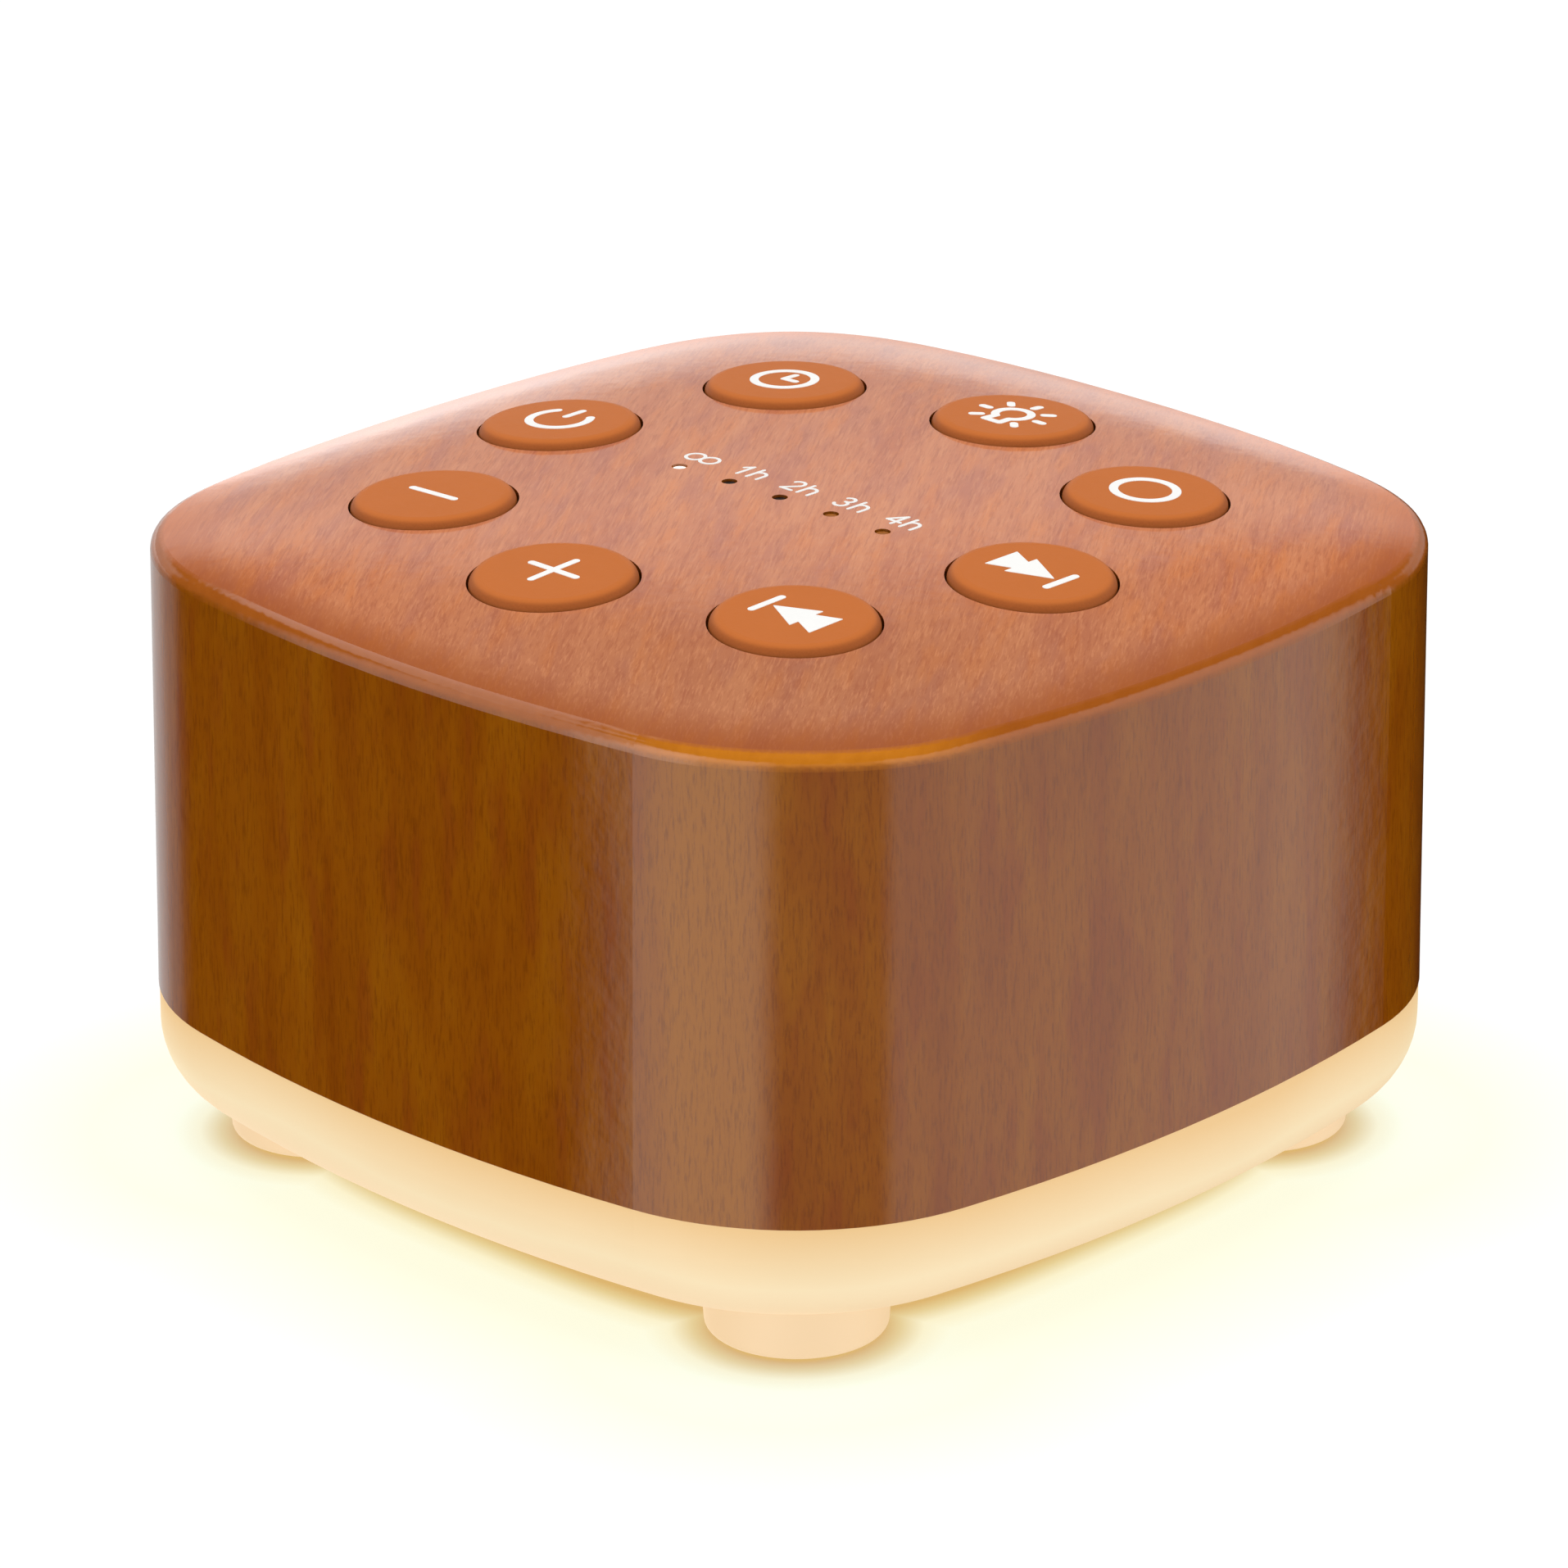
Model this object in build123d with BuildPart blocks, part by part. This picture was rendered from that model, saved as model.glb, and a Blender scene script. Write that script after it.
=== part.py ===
from build123d import *
import os
from math import asin, atan2, cos, degrees, radians, sin, sqrt, tan

# White noise sound machine with a night light, in millimetres. +Z is up, +X runs along the row of
# timer lights, the user sits at -Y, and the origin is on the table under the middle of the body.
# From the table up: rubber pads, frosted light base, speaker and light board inside it, reflector
# plate, wood-grain housing with the main board hung from its ceiling, and eight push buttons.

os.makedirs("parts", exist_ok=True)

# ---------------------------------------------------------------- driving dimensions
# Body plan: a rounded square of slightly bowed sides
half_width = 52.1  # middle of a side, at the seam
side_radius = 171.0
corner_radius = 25.5

# Housing
top_height = 64.4  # middle of the crowned top
crown_radius_x = 680.0
crown_radius_y = 1000.0
crown_fall = 2.35  # how much further the top falls off by the rim
rim_radius = 1.6
draft = 0.6  # degrees
wall = 2.0
seam_height = 16.3
post_radius = 3.0
gusset = 1.2

# Light base
base_bottom = 5.4
base_round = 7.3
base_wall = 3.0
base_floor = 2.0
reveal = 0.1  # the base stands back from the housing by this
tongue_height = 2.5
tongue_fit = 0.1
tongue_head_room = 0.4
foot_setback = 15.07  # from the body's corner in to the middle of a foot
foot_radius = 8.9
foot_taper = 0.5
foot_edge = 0.8
foot_skin = 1.4
foot_pocket_wall = 1.7
tower_radius = 4.4
tower_rise = 2.6

# Rubber pads
pad_radius = 5.9
pad_recess = 1.2
pad_proud = 0.3
pad_fit = 0.1

# Case screws
case_shank = 1.25
case_head_radius = 2.7
case_head_height = 2.0
case_seat = 4.5  # plastic between the screw head and the tower's top
case_grip = 9.0
screw_spare = 1.0  # the pilot hole runs on past the screw's tip
pilot_fit = 0.05
screw_room = 0.35

# Buttons
button_inset = 21.4  # from the middle of a side in to its button
cap_radius = 7.8
cap_gap = 0.2
cap_rise = 0.8
cap_edge = 1.2
cap_roof = 1.6
cap_wall = 1.1
flange_lip = 0.75
flange_thickness = 1.0
flange_to_post = 0.35
collar_depth = 3.8
collar_wall = 1.2
stop_gap = 0.1
stem_radius = 2.2
stem_reach = 2.3
web = 0.9
key_width = 1.6
key_height = 1.8
key_fit = 0.2
travel = 0.5

# Switches
switch_size = 6.0
switch_height = 3.6
switch_corner = 0.5
plunger_radius = 1.75
plunger_rise = 1.6
plunger_seat = 1.5
plunger_fit = 0.06
well_spare = 0.3

# Timer lights
light_pitch = 6.6
light_count = 5
light_row_x = 0.3
light_row_y = -1.6
light_hole = 0.75
light_recess = 0.2
guide_radius = 1.3
guide_fit = 0.12
guide_gap = 0.3
guide_bar_width = 1.6
guide_bar_height = 2.0
guide_leg_offset = 3.8
led_length = 2.0
led_width = 1.25
led_height = 0.8

# Main board
board_thickness = 1.6
board_clearance = 1.6
board_boss_inset = 4.0
board_boss_radius = 2.6
board_screw_shank = 1.0
board_screw_head = 2.0
board_screw_head_height = 1.4
board_screw_grip = 5.0
processor_side = 10.0
chip_length = 6.0
chip_width = 5.0
chip_height = 1.4
chip_chamfer = 0.3
capacitor_radius = 3.15
capacitor_height = 5.8
socket_width = 4.6
socket_length = 6.6
socket_height = 5.0
socket_wall = 0.8
socket_floor = 1.5
socket_reach = 14.0

# Night light
light_board_thickness = 1.2
light_board_clearance = 0.85
light_board_to_speaker = 2.1
ring_led_count = 8
ring_led_length = 3.5
ring_led_width = 2.8
ring_led_height = 1.4
ring_led_lens = 1.0
reflector_column = 4.3
reflector_column_radius = 4.0
reflector_thickness = 1.5
reflector_gap = 0.3
reflector_to_basket = 5.6
lead_slot = 5.0

# Loudspeaker, facing down
speaker_sheet = 0.8
gasket_thickness = 1.0
gasket_width = 2.0
rim_ledge = 1.6  # flat ring between the basket and the gasket's inner edge
basket_straight = 2.0
basket_depth = 7.7
basket_taper = 3.1
neck_radius = 8.0
window_count = 6
window_width = 12.0
window_height = 5.7
roll_radius = 1.6
roll_skin = 0.5
roll_gap = 0.2  # flat land on either side of the surround's roll
cone_radius = 18.8
cone_lip = 1.0
cone_depth = 6.2
cone_skin = 0.5
coil_radius = 6.5
coil_wall = 0.6
coil_length = 8.6
pole_radius = 6.1
gap_radius = 7.6
plate_radius = 15.5
plate_thickness = 2.0
ring_magnet_radius = 16.2
ring_magnet_hole = 9.0
ring_magnet_height = 5.0
dust_cap_radius = 8.2
dust_cap_sag = 2.0
dust_cap_skin = 0.4
terminal_length = 8.0
terminal_width = 2.6
terminal_height = 1.0
tag_width = 1.6
tag_height = 1.2
speaker_boss_radius = 2.2
speaker_boss_gap = 0.3
speaker_screw_shank = 0.95
speaker_screw_head = 3.4
speaker_screw_head_height = 1.4
speaker_screw_grip = 2.6
rim_wall = 1.2
rim_wall_gap = 0.4
rim_wall_height = 1.2

# Speaker grille in the base's floor
slot_width = 2.0
slot_pitch = 4.4
slot_count = 9
grille_radius = 20.0

# Power inlet
power_post_height = 5.5
power_post_radius = 2.2
power_post_reach = 7.0
power_board_length = 20.0
power_board_depth = 13.0
power_board_corner = 1.0
power_post_setback = 9.36  # from the board's back edge in to its posts
power_board_gap = 0.6
power_board_thickness = 1.6
power_screw_shank = 0.8
power_screw_head = 1.7
power_screw_head_height = 1.2
power_screw_grip = 4.0
inlet_width = 8.94
inlet_height = 3.26
inlet_depth = 7.35
inlet_skin = 0.3
inlet_tongue_width = 6.6
inlet_tongue_thickness = 0.7
inlet_back = 1.5
inlet_recess = 0.9
port_gap = 0.35

# Internal leads: a straight rise from the board or tags, and a straight run into the socket
wire_radius = 0.6
wire_pitch = 1.6
speaker_lead_rise = 7.8
light_lead_rise = 10.0
power_lead_rise = 7.4
lead_run_in = 7.9

# ---------------------------------------------------------------- worked-out levels and places
side_centre = half_width - side_radius
corner_offset = (side_centre + sqrt(2 * (side_radius - corner_radius) ** 2 - side_centre**2)) / 2
side_angle = degrees(atan2(corner_offset, corner_offset - side_centre))
corner_reach = corner_offset * sqrt(2) + corner_radius

foot_reach = corner_reach - foot_setback
foot_bottom = pad_proud
pad_top = foot_bottom + pad_recess
floor_top = base_bottom + base_floor
tower_top = floor_top + tower_rise
case_seat_height = tower_top - case_seat
case_hole = case_shank + screw_room

basket_radius = cone_radius + 2 * (roll_radius + roll_gap)
back_radius = basket_radius - basket_taper
step_radius = basket_radius + rim_ledge
speaker_rim = step_radius + gasket_width

light_board_top = tower_top + light_board_thickness
light_board_outer = half_width - reveal - base_wall - light_board_clearance
speaker_boss_reach = speaker_rim + speaker_boss_gap + speaker_boss_radius
light_board_inner = speaker_boss_reach + speaker_screw_head + light_board_to_speaker
reflector_bottom = light_board_top + reflector_column
reflector_top = reflector_bottom + reflector_thickness
reflector_inset = reveal + base_wall + reflector_gap

gusset_bottom = seam_height + tongue_height + tongue_head_room
ceiling = top_height - wall
collar_bottom = ceiling - collar_depth
flange_top = collar_bottom - stop_gap
flange_bottom = flange_top - flange_thickness
plunger_top = flange_bottom - stem_reach
switch_top = plunger_top - plunger_rise
board_top = switch_top - switch_height
board_bottom = board_top - board_thickness

side_reach = half_width - button_inset
hole_radius = cap_radius + cap_gap
flange_radius = cap_radius + flange_lip
corner_button_reach = foot_reach - post_radius - flange_to_post - flange_radius
board_radius = foot_reach - post_radius - board_clearance
board_boss_reach = board_radius - board_boss_inset

power_board_top = reflector_top + power_post_height + power_board_thickness
inlet_level = power_board_top + inlet_height / 2
inner_face = half_width - wall - (inlet_level - seam_height) * tan(radians(draft))
inlet_front = inner_face + wall - inlet_recess
power_board_back = inner_face - power_board_gap
power_post_y = power_board_back - power_post_setback
power_pad_y = power_board_back - power_board_depth + 2 * wire_radius

foot_angles = {"rear_right": 45, "rear_left": 135, "front_left": 225, "front_right": 315}
button_angles = {
    "next": 0,
    "loop": 45,
    "light": 90,
    "timer": 135,
    "power": 180,
    "volume_down": 225,
    "volume_up": 270,
    "previous": 315,
}


def polar(reach, angle):
    """The point at this reach and angle on the table plan."""
    return (reach * cos(radians(angle)), reach * sin(radians(angle)))


def inward_of(spot, distance, angle):
    """The point this far from the spot, towards the body's middle."""
    return (spot[0] - distance * cos(radians(angle)), spot[1] - distance * sin(radians(angle)))


def button_spot(angle):
    """Side buttons lie on the side ring, corner buttons just inside the screw posts."""
    return polar(corner_button_reach if angle % 90 else side_reach, angle)


foot_spots = [polar(foot_reach, angle) for angle in foot_angles.values()]
button_spots = [button_spot(angle) for angle in button_angles.values()]
boss_spots = [polar(board_boss_reach, 22.5 + 90 * quarter) for quarter in range(4)]
light_spots = [
    (light_row_x + light_pitch * (i - (light_count - 1) / 2), light_row_y) for i in range(light_count)
]


# ---------------------------------------------------------------- shared shapes
def body_plan(inset):
    """The rounded-square outline of the body, drawn in by inset all round."""
    with BuildSketch(mode=Mode.PRIVATE) as plan:
        with BuildLine():
            for quarter in range(4):
                turn = 90 * quarter
                side_middle = Vector(side_centre, 0).rotate(Axis.Z, turn)
                corner_middle = Vector(corner_offset, corner_offset).rotate(Axis.Z, turn)
                CenterArc(side_middle, side_radius - inset, turn - side_angle, 2 * side_angle)
                CenterArc(corner_middle, corner_radius - inset, turn + side_angle, 90 - 2 * side_angle)
        make_face()
    return plan.sketch


def crown(x, y):
    """Height of the crowned top over a point of the plan."""
    dome = x * x / (2 * crown_radius_x) + y * y / (2 * crown_radius_y)
    shoulder = crown_fall * ((x / half_width) ** 6 + (y / half_width) ** 6)
    return top_height - dome - shoulder


def above_crown(drop):
    """Everything over the crowned top lowered by drop, as a cutting tool."""
    steps = range(-12, 13)
    stride = (half_width + 2 * rim_radius) / 12
    marks = [i * stride for i in steps]
    rows = [[Vector(x, y, crown(x, y) - drop) for y in marks] for x in marks]
    skin = Face.make_surface_from_array_of_points(rows, tol=1e-3)
    return Solid.extrude(skin, Vector(0, 0, top_height / 2))


def turned(outline):
    """A closed outline of (radius, height) points revolved about the body's axis."""
    with BuildPart() as turning:
        with BuildSketch(Plane.XZ):
            with BuildLine():
                Polyline(*outline, close=True)
            make_face()
        revolve(axis=Axis.Z)
    return turning.part


def screws(spots, seat, shank, length, head, head_height, up=True):
    """Pan-head screws whose heads bear on the level seat and whose shanks run up, or down."""
    way = 1 if up else -1
    with BuildPart() as group:
        with BuildSketch(Plane.XY.offset(seat)):
            with Locations(*spots):
                Circle(shank)
        extrude(amount=way * length)
        with BuildSketch(Plane.XY.offset(seat)):
            with Locations(*spots):
                Circle(head)
        extrude(amount=-way * head_height)
        outer = group.faces().group_by(Axis.Z)[0 if up else -1]
        chamfer(outer.edges(), head_height * 0.3)
    return group.part


def keep(part, name):
    """Labels a finished piece and writes it."""
    part.label = name
    export_step(part, f"parts/{name}.step")


# ---------------------------------------------------------------- housing
with BuildPart() as housing_block:
    with BuildSketch(Plane.XY.offset(seam_height)):
        add(body_plan(0))
    extrude(amount=top_height - seam_height + rim_radius, taper=draft)
    add(above_crown(0), mode=Mode.SUBTRACT)
    fillet(housing_block.faces().sort_by(Axis.Z)[-1].edges(), rim_radius)

with BuildPart() as housing_room:
    with BuildSketch(Plane.XY.offset(seam_height)):
        add(body_plan(wall))
    extrude(amount=top_height - seam_height, taper=draft)
    add(above_crown(wall), mode=Mode.SUBTRACT)
    fillet(housing_room.faces().sort_by(Axis.Z)[-1].edges(), rim_radius / 2)

# Button collars with their anti-turn keys, board bosses, screw posts and their gussets
with BuildPart() as hangers:
    with BuildSketch(Plane.XY.offset(collar_bottom)):
        with Locations(*button_spots):
            Circle(hole_radius + collar_wall)
    extrude(amount=top_height - collar_bottom)
    for angle in button_angles.values():
        with BuildSketch(Plane.XY.offset(collar_bottom - key_height)):
            with Locations(inward_of(button_spot(angle), hole_radius + collar_wall / 2, angle)):
                Rectangle(collar_wall, key_width, rotation=angle)
        extrude(amount=key_height + stop_gap)
    with BuildSketch(Plane.XY.offset(board_top)):
        with Locations(*boss_spots):
            Circle(board_boss_radius)
    extrude(amount=top_height - board_top)
    with BuildSketch(Plane.XY.offset(reflector_top)):
        with Locations(*foot_spots):
            Circle(post_radius)
    extrude(amount=top_height - reflector_top)
    with BuildSketch(Plane.XY.offset(gusset_bottom)):
        for angle in foot_angles.values():
            with Locations(polar((foot_reach + corner_reach - wall) / 2, angle)):
                Rectangle(corner_reach - foot_reach - wall / 2, gusset, rotation=angle)
    extrude(amount=top_height - gusset_bottom)
    add(above_crown(wall / 2), mode=Mode.SUBTRACT)

with BuildPart() as housing:
    add(housing_block.part)
    add(housing_room.part, mode=Mode.SUBTRACT)
    add(hangers.part)
    with BuildSketch(Plane.XY.offset(collar_bottom)):
        with Locations(*button_spots):
            Circle(hole_radius)
    extrude(amount=top_height - collar_bottom, mode=Mode.SUBTRACT)
    with BuildSketch(Plane.XY.offset(ceiling - wall)):
        with Locations(*light_spots):
            Circle(light_hole)
    extrude(amount=2 * wall, mode=Mode.SUBTRACT)
    with BuildSketch(Plane.XY.offset(reflector_top)):
        with Locations(*foot_spots):
            Circle(case_shank + pilot_fit)
    extrude(amount=case_grip + screw_spare, mode=Mode.SUBTRACT)
    with BuildSketch(Plane.XY.offset(board_top)):
        with Locations(*boss_spots):
            Circle(board_screw_shank + pilot_fit)
    extrude(amount=board_screw_grip + screw_spare, mode=Mode.SUBTRACT)
    with BuildSketch(Plane(origin=(0, inner_face - wall, inlet_level), x_dir=(1, 0, 0), z_dir=(0, 1, 0))):
        SlotOverall(inlet_width + 2 * port_gap, inlet_height + 2 * port_gap)
    extrude(amount=3 * wall, mode=Mode.SUBTRACT)
keep(housing.part, "housing_shell")


# ---------------------------------------------------------------- light base
with BuildPart() as feet:
    with Locations(*[(x, y, foot_bottom) for x, y in foot_spots]):
        Cone(
            foot_radius - foot_taper,
            foot_radius,
            base_bottom + base_floor / 2 - foot_bottom,
            align=(Align.CENTER, Align.CENTER, Align.MIN),
        )
    fillet(feet.edges().group_by(Axis.Z)[0], foot_edge)

speaker_boss_spots = [polar(speaker_boss_reach, 45 + 90 * quarter) for quarter in range(4)]
speaker_seat = floor_top + gasket_thickness
speaker_clamp = speaker_seat + speaker_sheet

with BuildPart() as light_base:
    with BuildSketch(Plane.XY.offset(base_bottom)):
        add(body_plan(reveal))
    extrude(amount=seam_height - base_bottom)
    fillet(light_base.faces().sort_by(Axis.Z)[0].edges(), base_round)
    with BuildSketch(Plane.XY.offset(seam_height)):
        add(body_plan(wall + tongue_fit))
    extrude(amount=tongue_height)
    add(feet.part)

with BuildPart() as base_room:
    with BuildSketch(Plane.XY.offset(floor_top)):
        add(body_plan(reveal + base_wall))
    extrude(amount=seam_height + tongue_height - floor_top)
    fillet(base_room.faces().sort_by(Axis.Z)[0].edges(), base_round - base_wall)
    # pockets inside the feet
    with BuildSketch(Plane.XY.offset(pad_top + foot_skin)):
        with Locations(*foot_spots):
            Circle(foot_radius - foot_pocket_wall - foot_taper)
            Circle(tower_radius, mode=Mode.SUBTRACT)
    extrude(amount=tower_top - pad_top - foot_skin)

with BuildPart() as base_inside:
    with BuildSketch(Plane.XY.offset(floor_top - base_floor / 2)):
        with Locations(*foot_spots):
            Circle(tower_radius)
    extrude(amount=tower_rise + base_floor / 2)
    with BuildSketch(Plane.XY.offset(floor_top - base_floor / 2)):
        with Locations(*speaker_boss_spots):
            Circle(speaker_boss_radius)
    extrude(amount=speaker_clamp - floor_top + base_floor / 2)
    with BuildSketch(Plane.XY.offset(floor_top - base_floor / 2)):
        Circle(speaker_rim + rim_wall_gap + rim_wall)
        Circle(speaker_rim + rim_wall_gap, mode=Mode.SUBTRACT)
    extrude(amount=rim_wall_height + base_floor / 2)

with BuildPart() as base:
    add(light_base.part)
    add(base_room.part, mode=Mode.SUBTRACT)
    add(base_inside.part)
    # pad recesses, screw head counterbores and clearance holes up through the towers
    with BuildSketch(Plane.XY.offset(foot_bottom)):
        with Locations(*foot_spots):
            Circle(pad_radius + pad_fit)
    extrude(amount=pad_recess, mode=Mode.SUBTRACT)
    with BuildSketch(Plane.XY.offset(foot_bottom)):
        with Locations(*foot_spots):
            Circle(case_head_radius + screw_room)
    extrude(amount=case_seat_height - foot_bottom, mode=Mode.SUBTRACT)
    with BuildSketch(Plane.XY.offset(foot_bottom)):
        with Locations(*foot_spots):
            Circle(case_hole)
    extrude(amount=tower_top - foot_bottom, mode=Mode.SUBTRACT)
    with BuildSketch(Plane.XY.offset(speaker_clamp)):
        with Locations(*speaker_boss_spots):
            Circle(speaker_screw_shank + pilot_fit)
    extrude(amount=-(speaker_screw_grip + pilot_fit), mode=Mode.SUBTRACT)
    # sound slots, each as long as the grille circle is wide at its place
    with BuildSketch(Plane.XY.offset(base_bottom)):
        for row in range(slot_count):
            offset_y = slot_pitch * (row - (slot_count - 1) / 2)
            with Locations((0, offset_y)):
                SlotOverall(2 * sqrt(grille_radius**2 - offset_y**2), slot_width)
    extrude(amount=base_floor, mode=Mode.SUBTRACT)
keep(base.part, "light_base")


# ---------------------------------------------------------------- feet pads and case screws
for place, angle in foot_angles.items():
    with BuildPart() as foot_pad:
        with BuildSketch():
            with Locations(polar(foot_reach, angle)):
                Circle(pad_radius)
        extrude(amount=pad_top)
        chamfer(foot_pad.faces().sort_by(Axis.Z)[0].edges(), pad_proud)
    keep(foot_pad.part, f"foot_pad_{place}")

case_length = reflector_top + case_grip - case_seat_height
case_screws = screws(
    foot_spots, case_seat_height, case_shank, case_length, case_head_radius, case_head_height
)
keep(case_screws, "case_screws")


# ---------------------------------------------------------------- buttons and switches
def button_cap(angle):
    """A hollow cap whose top follows the crown, with its stop flange, webs and pressing stem."""
    spot = button_spot(angle)
    roof = crown(*spot) + cap_rise - cap_roof
    with BuildPart() as cap:
        with BuildSketch(Plane.XY.offset(flange_top)):
            with Locations(spot):
                Circle(cap_radius)
        extrude(amount=top_height + 2 * cap_rise - flange_top)
        add(above_crown(-cap_rise), mode=Mode.SUBTRACT)
        fillet(cap.faces().sort_by(Axis.Z)[-1].edges(), cap_edge)
        with BuildSketch(Plane.XY.offset(flange_bottom)):
            with Locations(spot):
                Circle(flange_radius)
            with Locations(inward_of(spot, flange_radius, angle)):
                Rectangle(2 * flange_lip, key_width + 2 * key_fit, rotation=angle, mode=Mode.SUBTRACT)
        extrude(amount=flange_thickness)
        with BuildSketch(Plane.XY.offset(flange_bottom)):
            with Locations(spot):
                Circle(cap_radius - cap_wall)
                Circle(stem_radius, mode=Mode.SUBTRACT)
                Rectangle(2 * cap_radius, web, mode=Mode.SUBTRACT)
                Rectangle(web, 2 * cap_radius, mode=Mode.SUBTRACT)
        extrude(amount=roof - flange_bottom, mode=Mode.SUBTRACT)
        with BuildSketch(Plane.XY.offset(plunger_top)):
            with Locations(spot):
                Circle(stem_radius)
        extrude(amount=stem_reach)
    return cap.part


for name, angle in button_angles.items():
    keep(button_cap(angle), f"button_{name}")

    with BuildPart() as plunger:
        with BuildSketch(Plane.XY.offset(plunger_top)):
            with Locations(button_spot(angle)):
                Circle(plunger_radius)
        extrude(amount=-(plunger_rise + plunger_seat))
    keep(plunger.part, f"plunger_{name}")

    with BuildPart() as switch:
        with BuildSketch(Plane.XY.offset(board_top)):
            with Locations(button_spot(angle)):
                RectangleRounded(switch_size, switch_size, switch_corner)
        extrude(amount=switch_height)
        with BuildSketch(Plane.XY.offset(switch_top)):
            with Locations(button_spot(angle)):
                Circle(plunger_radius + plunger_fit)
        extrude(amount=-(plunger_seat + travel + well_spare), mode=Mode.SUBTRACT)
    keep(switch.part, f"switch_{name}")


# ---------------------------------------------------------------- main board and what it carries
with BuildPart() as main_board:
    with BuildSketch(Plane.XY.offset(board_bottom)):
        Circle(board_radius)
        with Locations(*boss_spots):
            Circle(board_screw_shank + screw_room, mode=Mode.SUBTRACT)
    extrude(amount=board_thickness)
keep(main_board.part, "main_board")

board_screw_length = board_thickness + board_screw_grip
board_screws = screws(
    boss_spots, board_bottom, board_screw_shank, board_screw_length, board_screw_head, board_screw_head_height
)
keep(board_screws, "board_screws")

with BuildPart() as timer_leds:
    with BuildSketch(Plane.XY.offset(board_top)):
        with Locations(*light_spots):
            Rectangle(led_length, led_width)
    extrude(amount=led_height)
keep(timer_leds.part, "timer_leds")

# Clear guide: a column over each LED, its tip in the housing's hole, on a bar with two legs
guide_start = board_top + led_height + guide_gap
guide_bar_bottom = guide_start + guide_bar_height
with BuildPart() as light_guide:
    row_half = light_pitch * (light_count - 1) / 2
    leg_reach = row_half + guide_leg_offset
    with BuildSketch(Plane.XY.offset(guide_start)):
        with Locations(*light_spots):
            Circle(guide_radius)
    extrude(amount=top_height - guide_start)
    with BuildSketch(Plane.XY.offset(guide_bar_bottom)):
        with Locations((light_row_x, light_row_y)):
            Rectangle(2 * leg_reach, guide_bar_width)
    extrude(amount=guide_bar_height)
    with BuildSketch(Plane.XY.offset(board_top)):
        with Locations((light_row_x - leg_reach, light_row_y), (light_row_x + leg_reach, light_row_y)):
            Circle(guide_radius)
    extrude(amount=guide_bar_bottom + guide_bar_height - board_top)
    add(above_crown(wall + guide_gap), mode=Mode.SUBTRACT)
    with BuildSketch(Plane.XY.offset(ceiling - 2 * guide_gap)):
        with Locations(*light_spots):
            Circle(light_hole - guide_fit)
    extrude(amount=2 * wall)
    add(above_crown(light_recess), mode=Mode.SUBTRACT)
keep(light_guide.part, "light_guide")


def chip(middle, length, width):
    """A moulded chip soldered under the main board, its outer face chamfered."""
    with BuildPart() as package:
        with BuildSketch(Plane.XY.offset(board_bottom)):
            with Locations(middle):
                Rectangle(length, width)
        extrude(amount=-chip_height)
        chamfer(package.faces().sort_by(Axis.Z)[0].edges(), chip_chamfer)
    return package.part


keep(chip((socket_reach, 0), processor_side, processor_side), "sound_processor")
keep(chip((socket_reach, socket_reach), chip_length, chip_width), "memory_chip")
keep(chip((-socket_reach, socket_reach), chip_length, chip_width), "amplifier_chip")

with BuildPart() as capacitors:
    with BuildSketch(Plane.XY.offset(board_bottom)):
        with Locations((-socket_reach, -socket_reach), (socket_reach, -socket_reach)):
            Circle(capacitor_radius)
    extrude(amount=-capacitor_height)
    fillet(capacitors.edges().group_by(Axis.Z)[0], chip_chamfer)
keep(capacitors.part, "board_capacitors")


def lead_socket(angle):
    """A two-way socket under the main board, open downwards, its length across the wires' plane."""
    with BuildPart() as socket:
        with BuildSketch(Plane.XY.offset(board_bottom)):
            with Locations(polar(socket_reach, angle)):
                Rectangle(socket_width, socket_length, rotation=angle)
        extrude(amount=-socket_height)
        with BuildSketch(Plane.XY.offset(board_bottom - socket_height)):
            with Locations(polar(socket_reach, angle)):
                inner_width = socket_width - 2 * socket_wall
                Rectangle(inner_width, socket_length - 2 * socket_wall, rotation=angle)
        extrude(amount=socket_height - socket_floor, mode=Mode.SUBTRACT)
    return socket.part


keep(lead_socket(180), "speaker_socket")
keep(lead_socket(270), "light_socket")
keep(lead_socket(90), "power_socket")


# ---------------------------------------------------------------- night light
with BuildPart() as light_board:
    with BuildSketch(Plane.XY.offset(tower_top)):
        Circle(light_board_outer)
        Circle(light_board_inner, mode=Mode.SUBTRACT)
        with Locations(*foot_spots):
            Circle(case_hole, mode=Mode.SUBTRACT)
    extrude(amount=light_board_thickness)
keep(light_board.part, "light_board")

led_ring_radius = (light_board_inner + light_board_outer) / 2
with BuildPart() as ring_leds:
    with BuildSketch(Plane.XY.offset(light_board_top)):
        with PolarLocations(led_ring_radius, ring_led_count, 180 / ring_led_count):
            Rectangle(ring_led_width, ring_led_length)
    extrude(amount=ring_led_height)
    with BuildSketch(Plane.XY.offset(light_board_top + ring_led_height)):
        with PolarLocations(led_ring_radius, ring_led_count, 180 / ring_led_count):
            Circle(ring_led_lens)
    extrude(amount=-ring_led_height / 4, mode=Mode.SUBTRACT)
keep(ring_leds.part, "light_board_leds")

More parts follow.
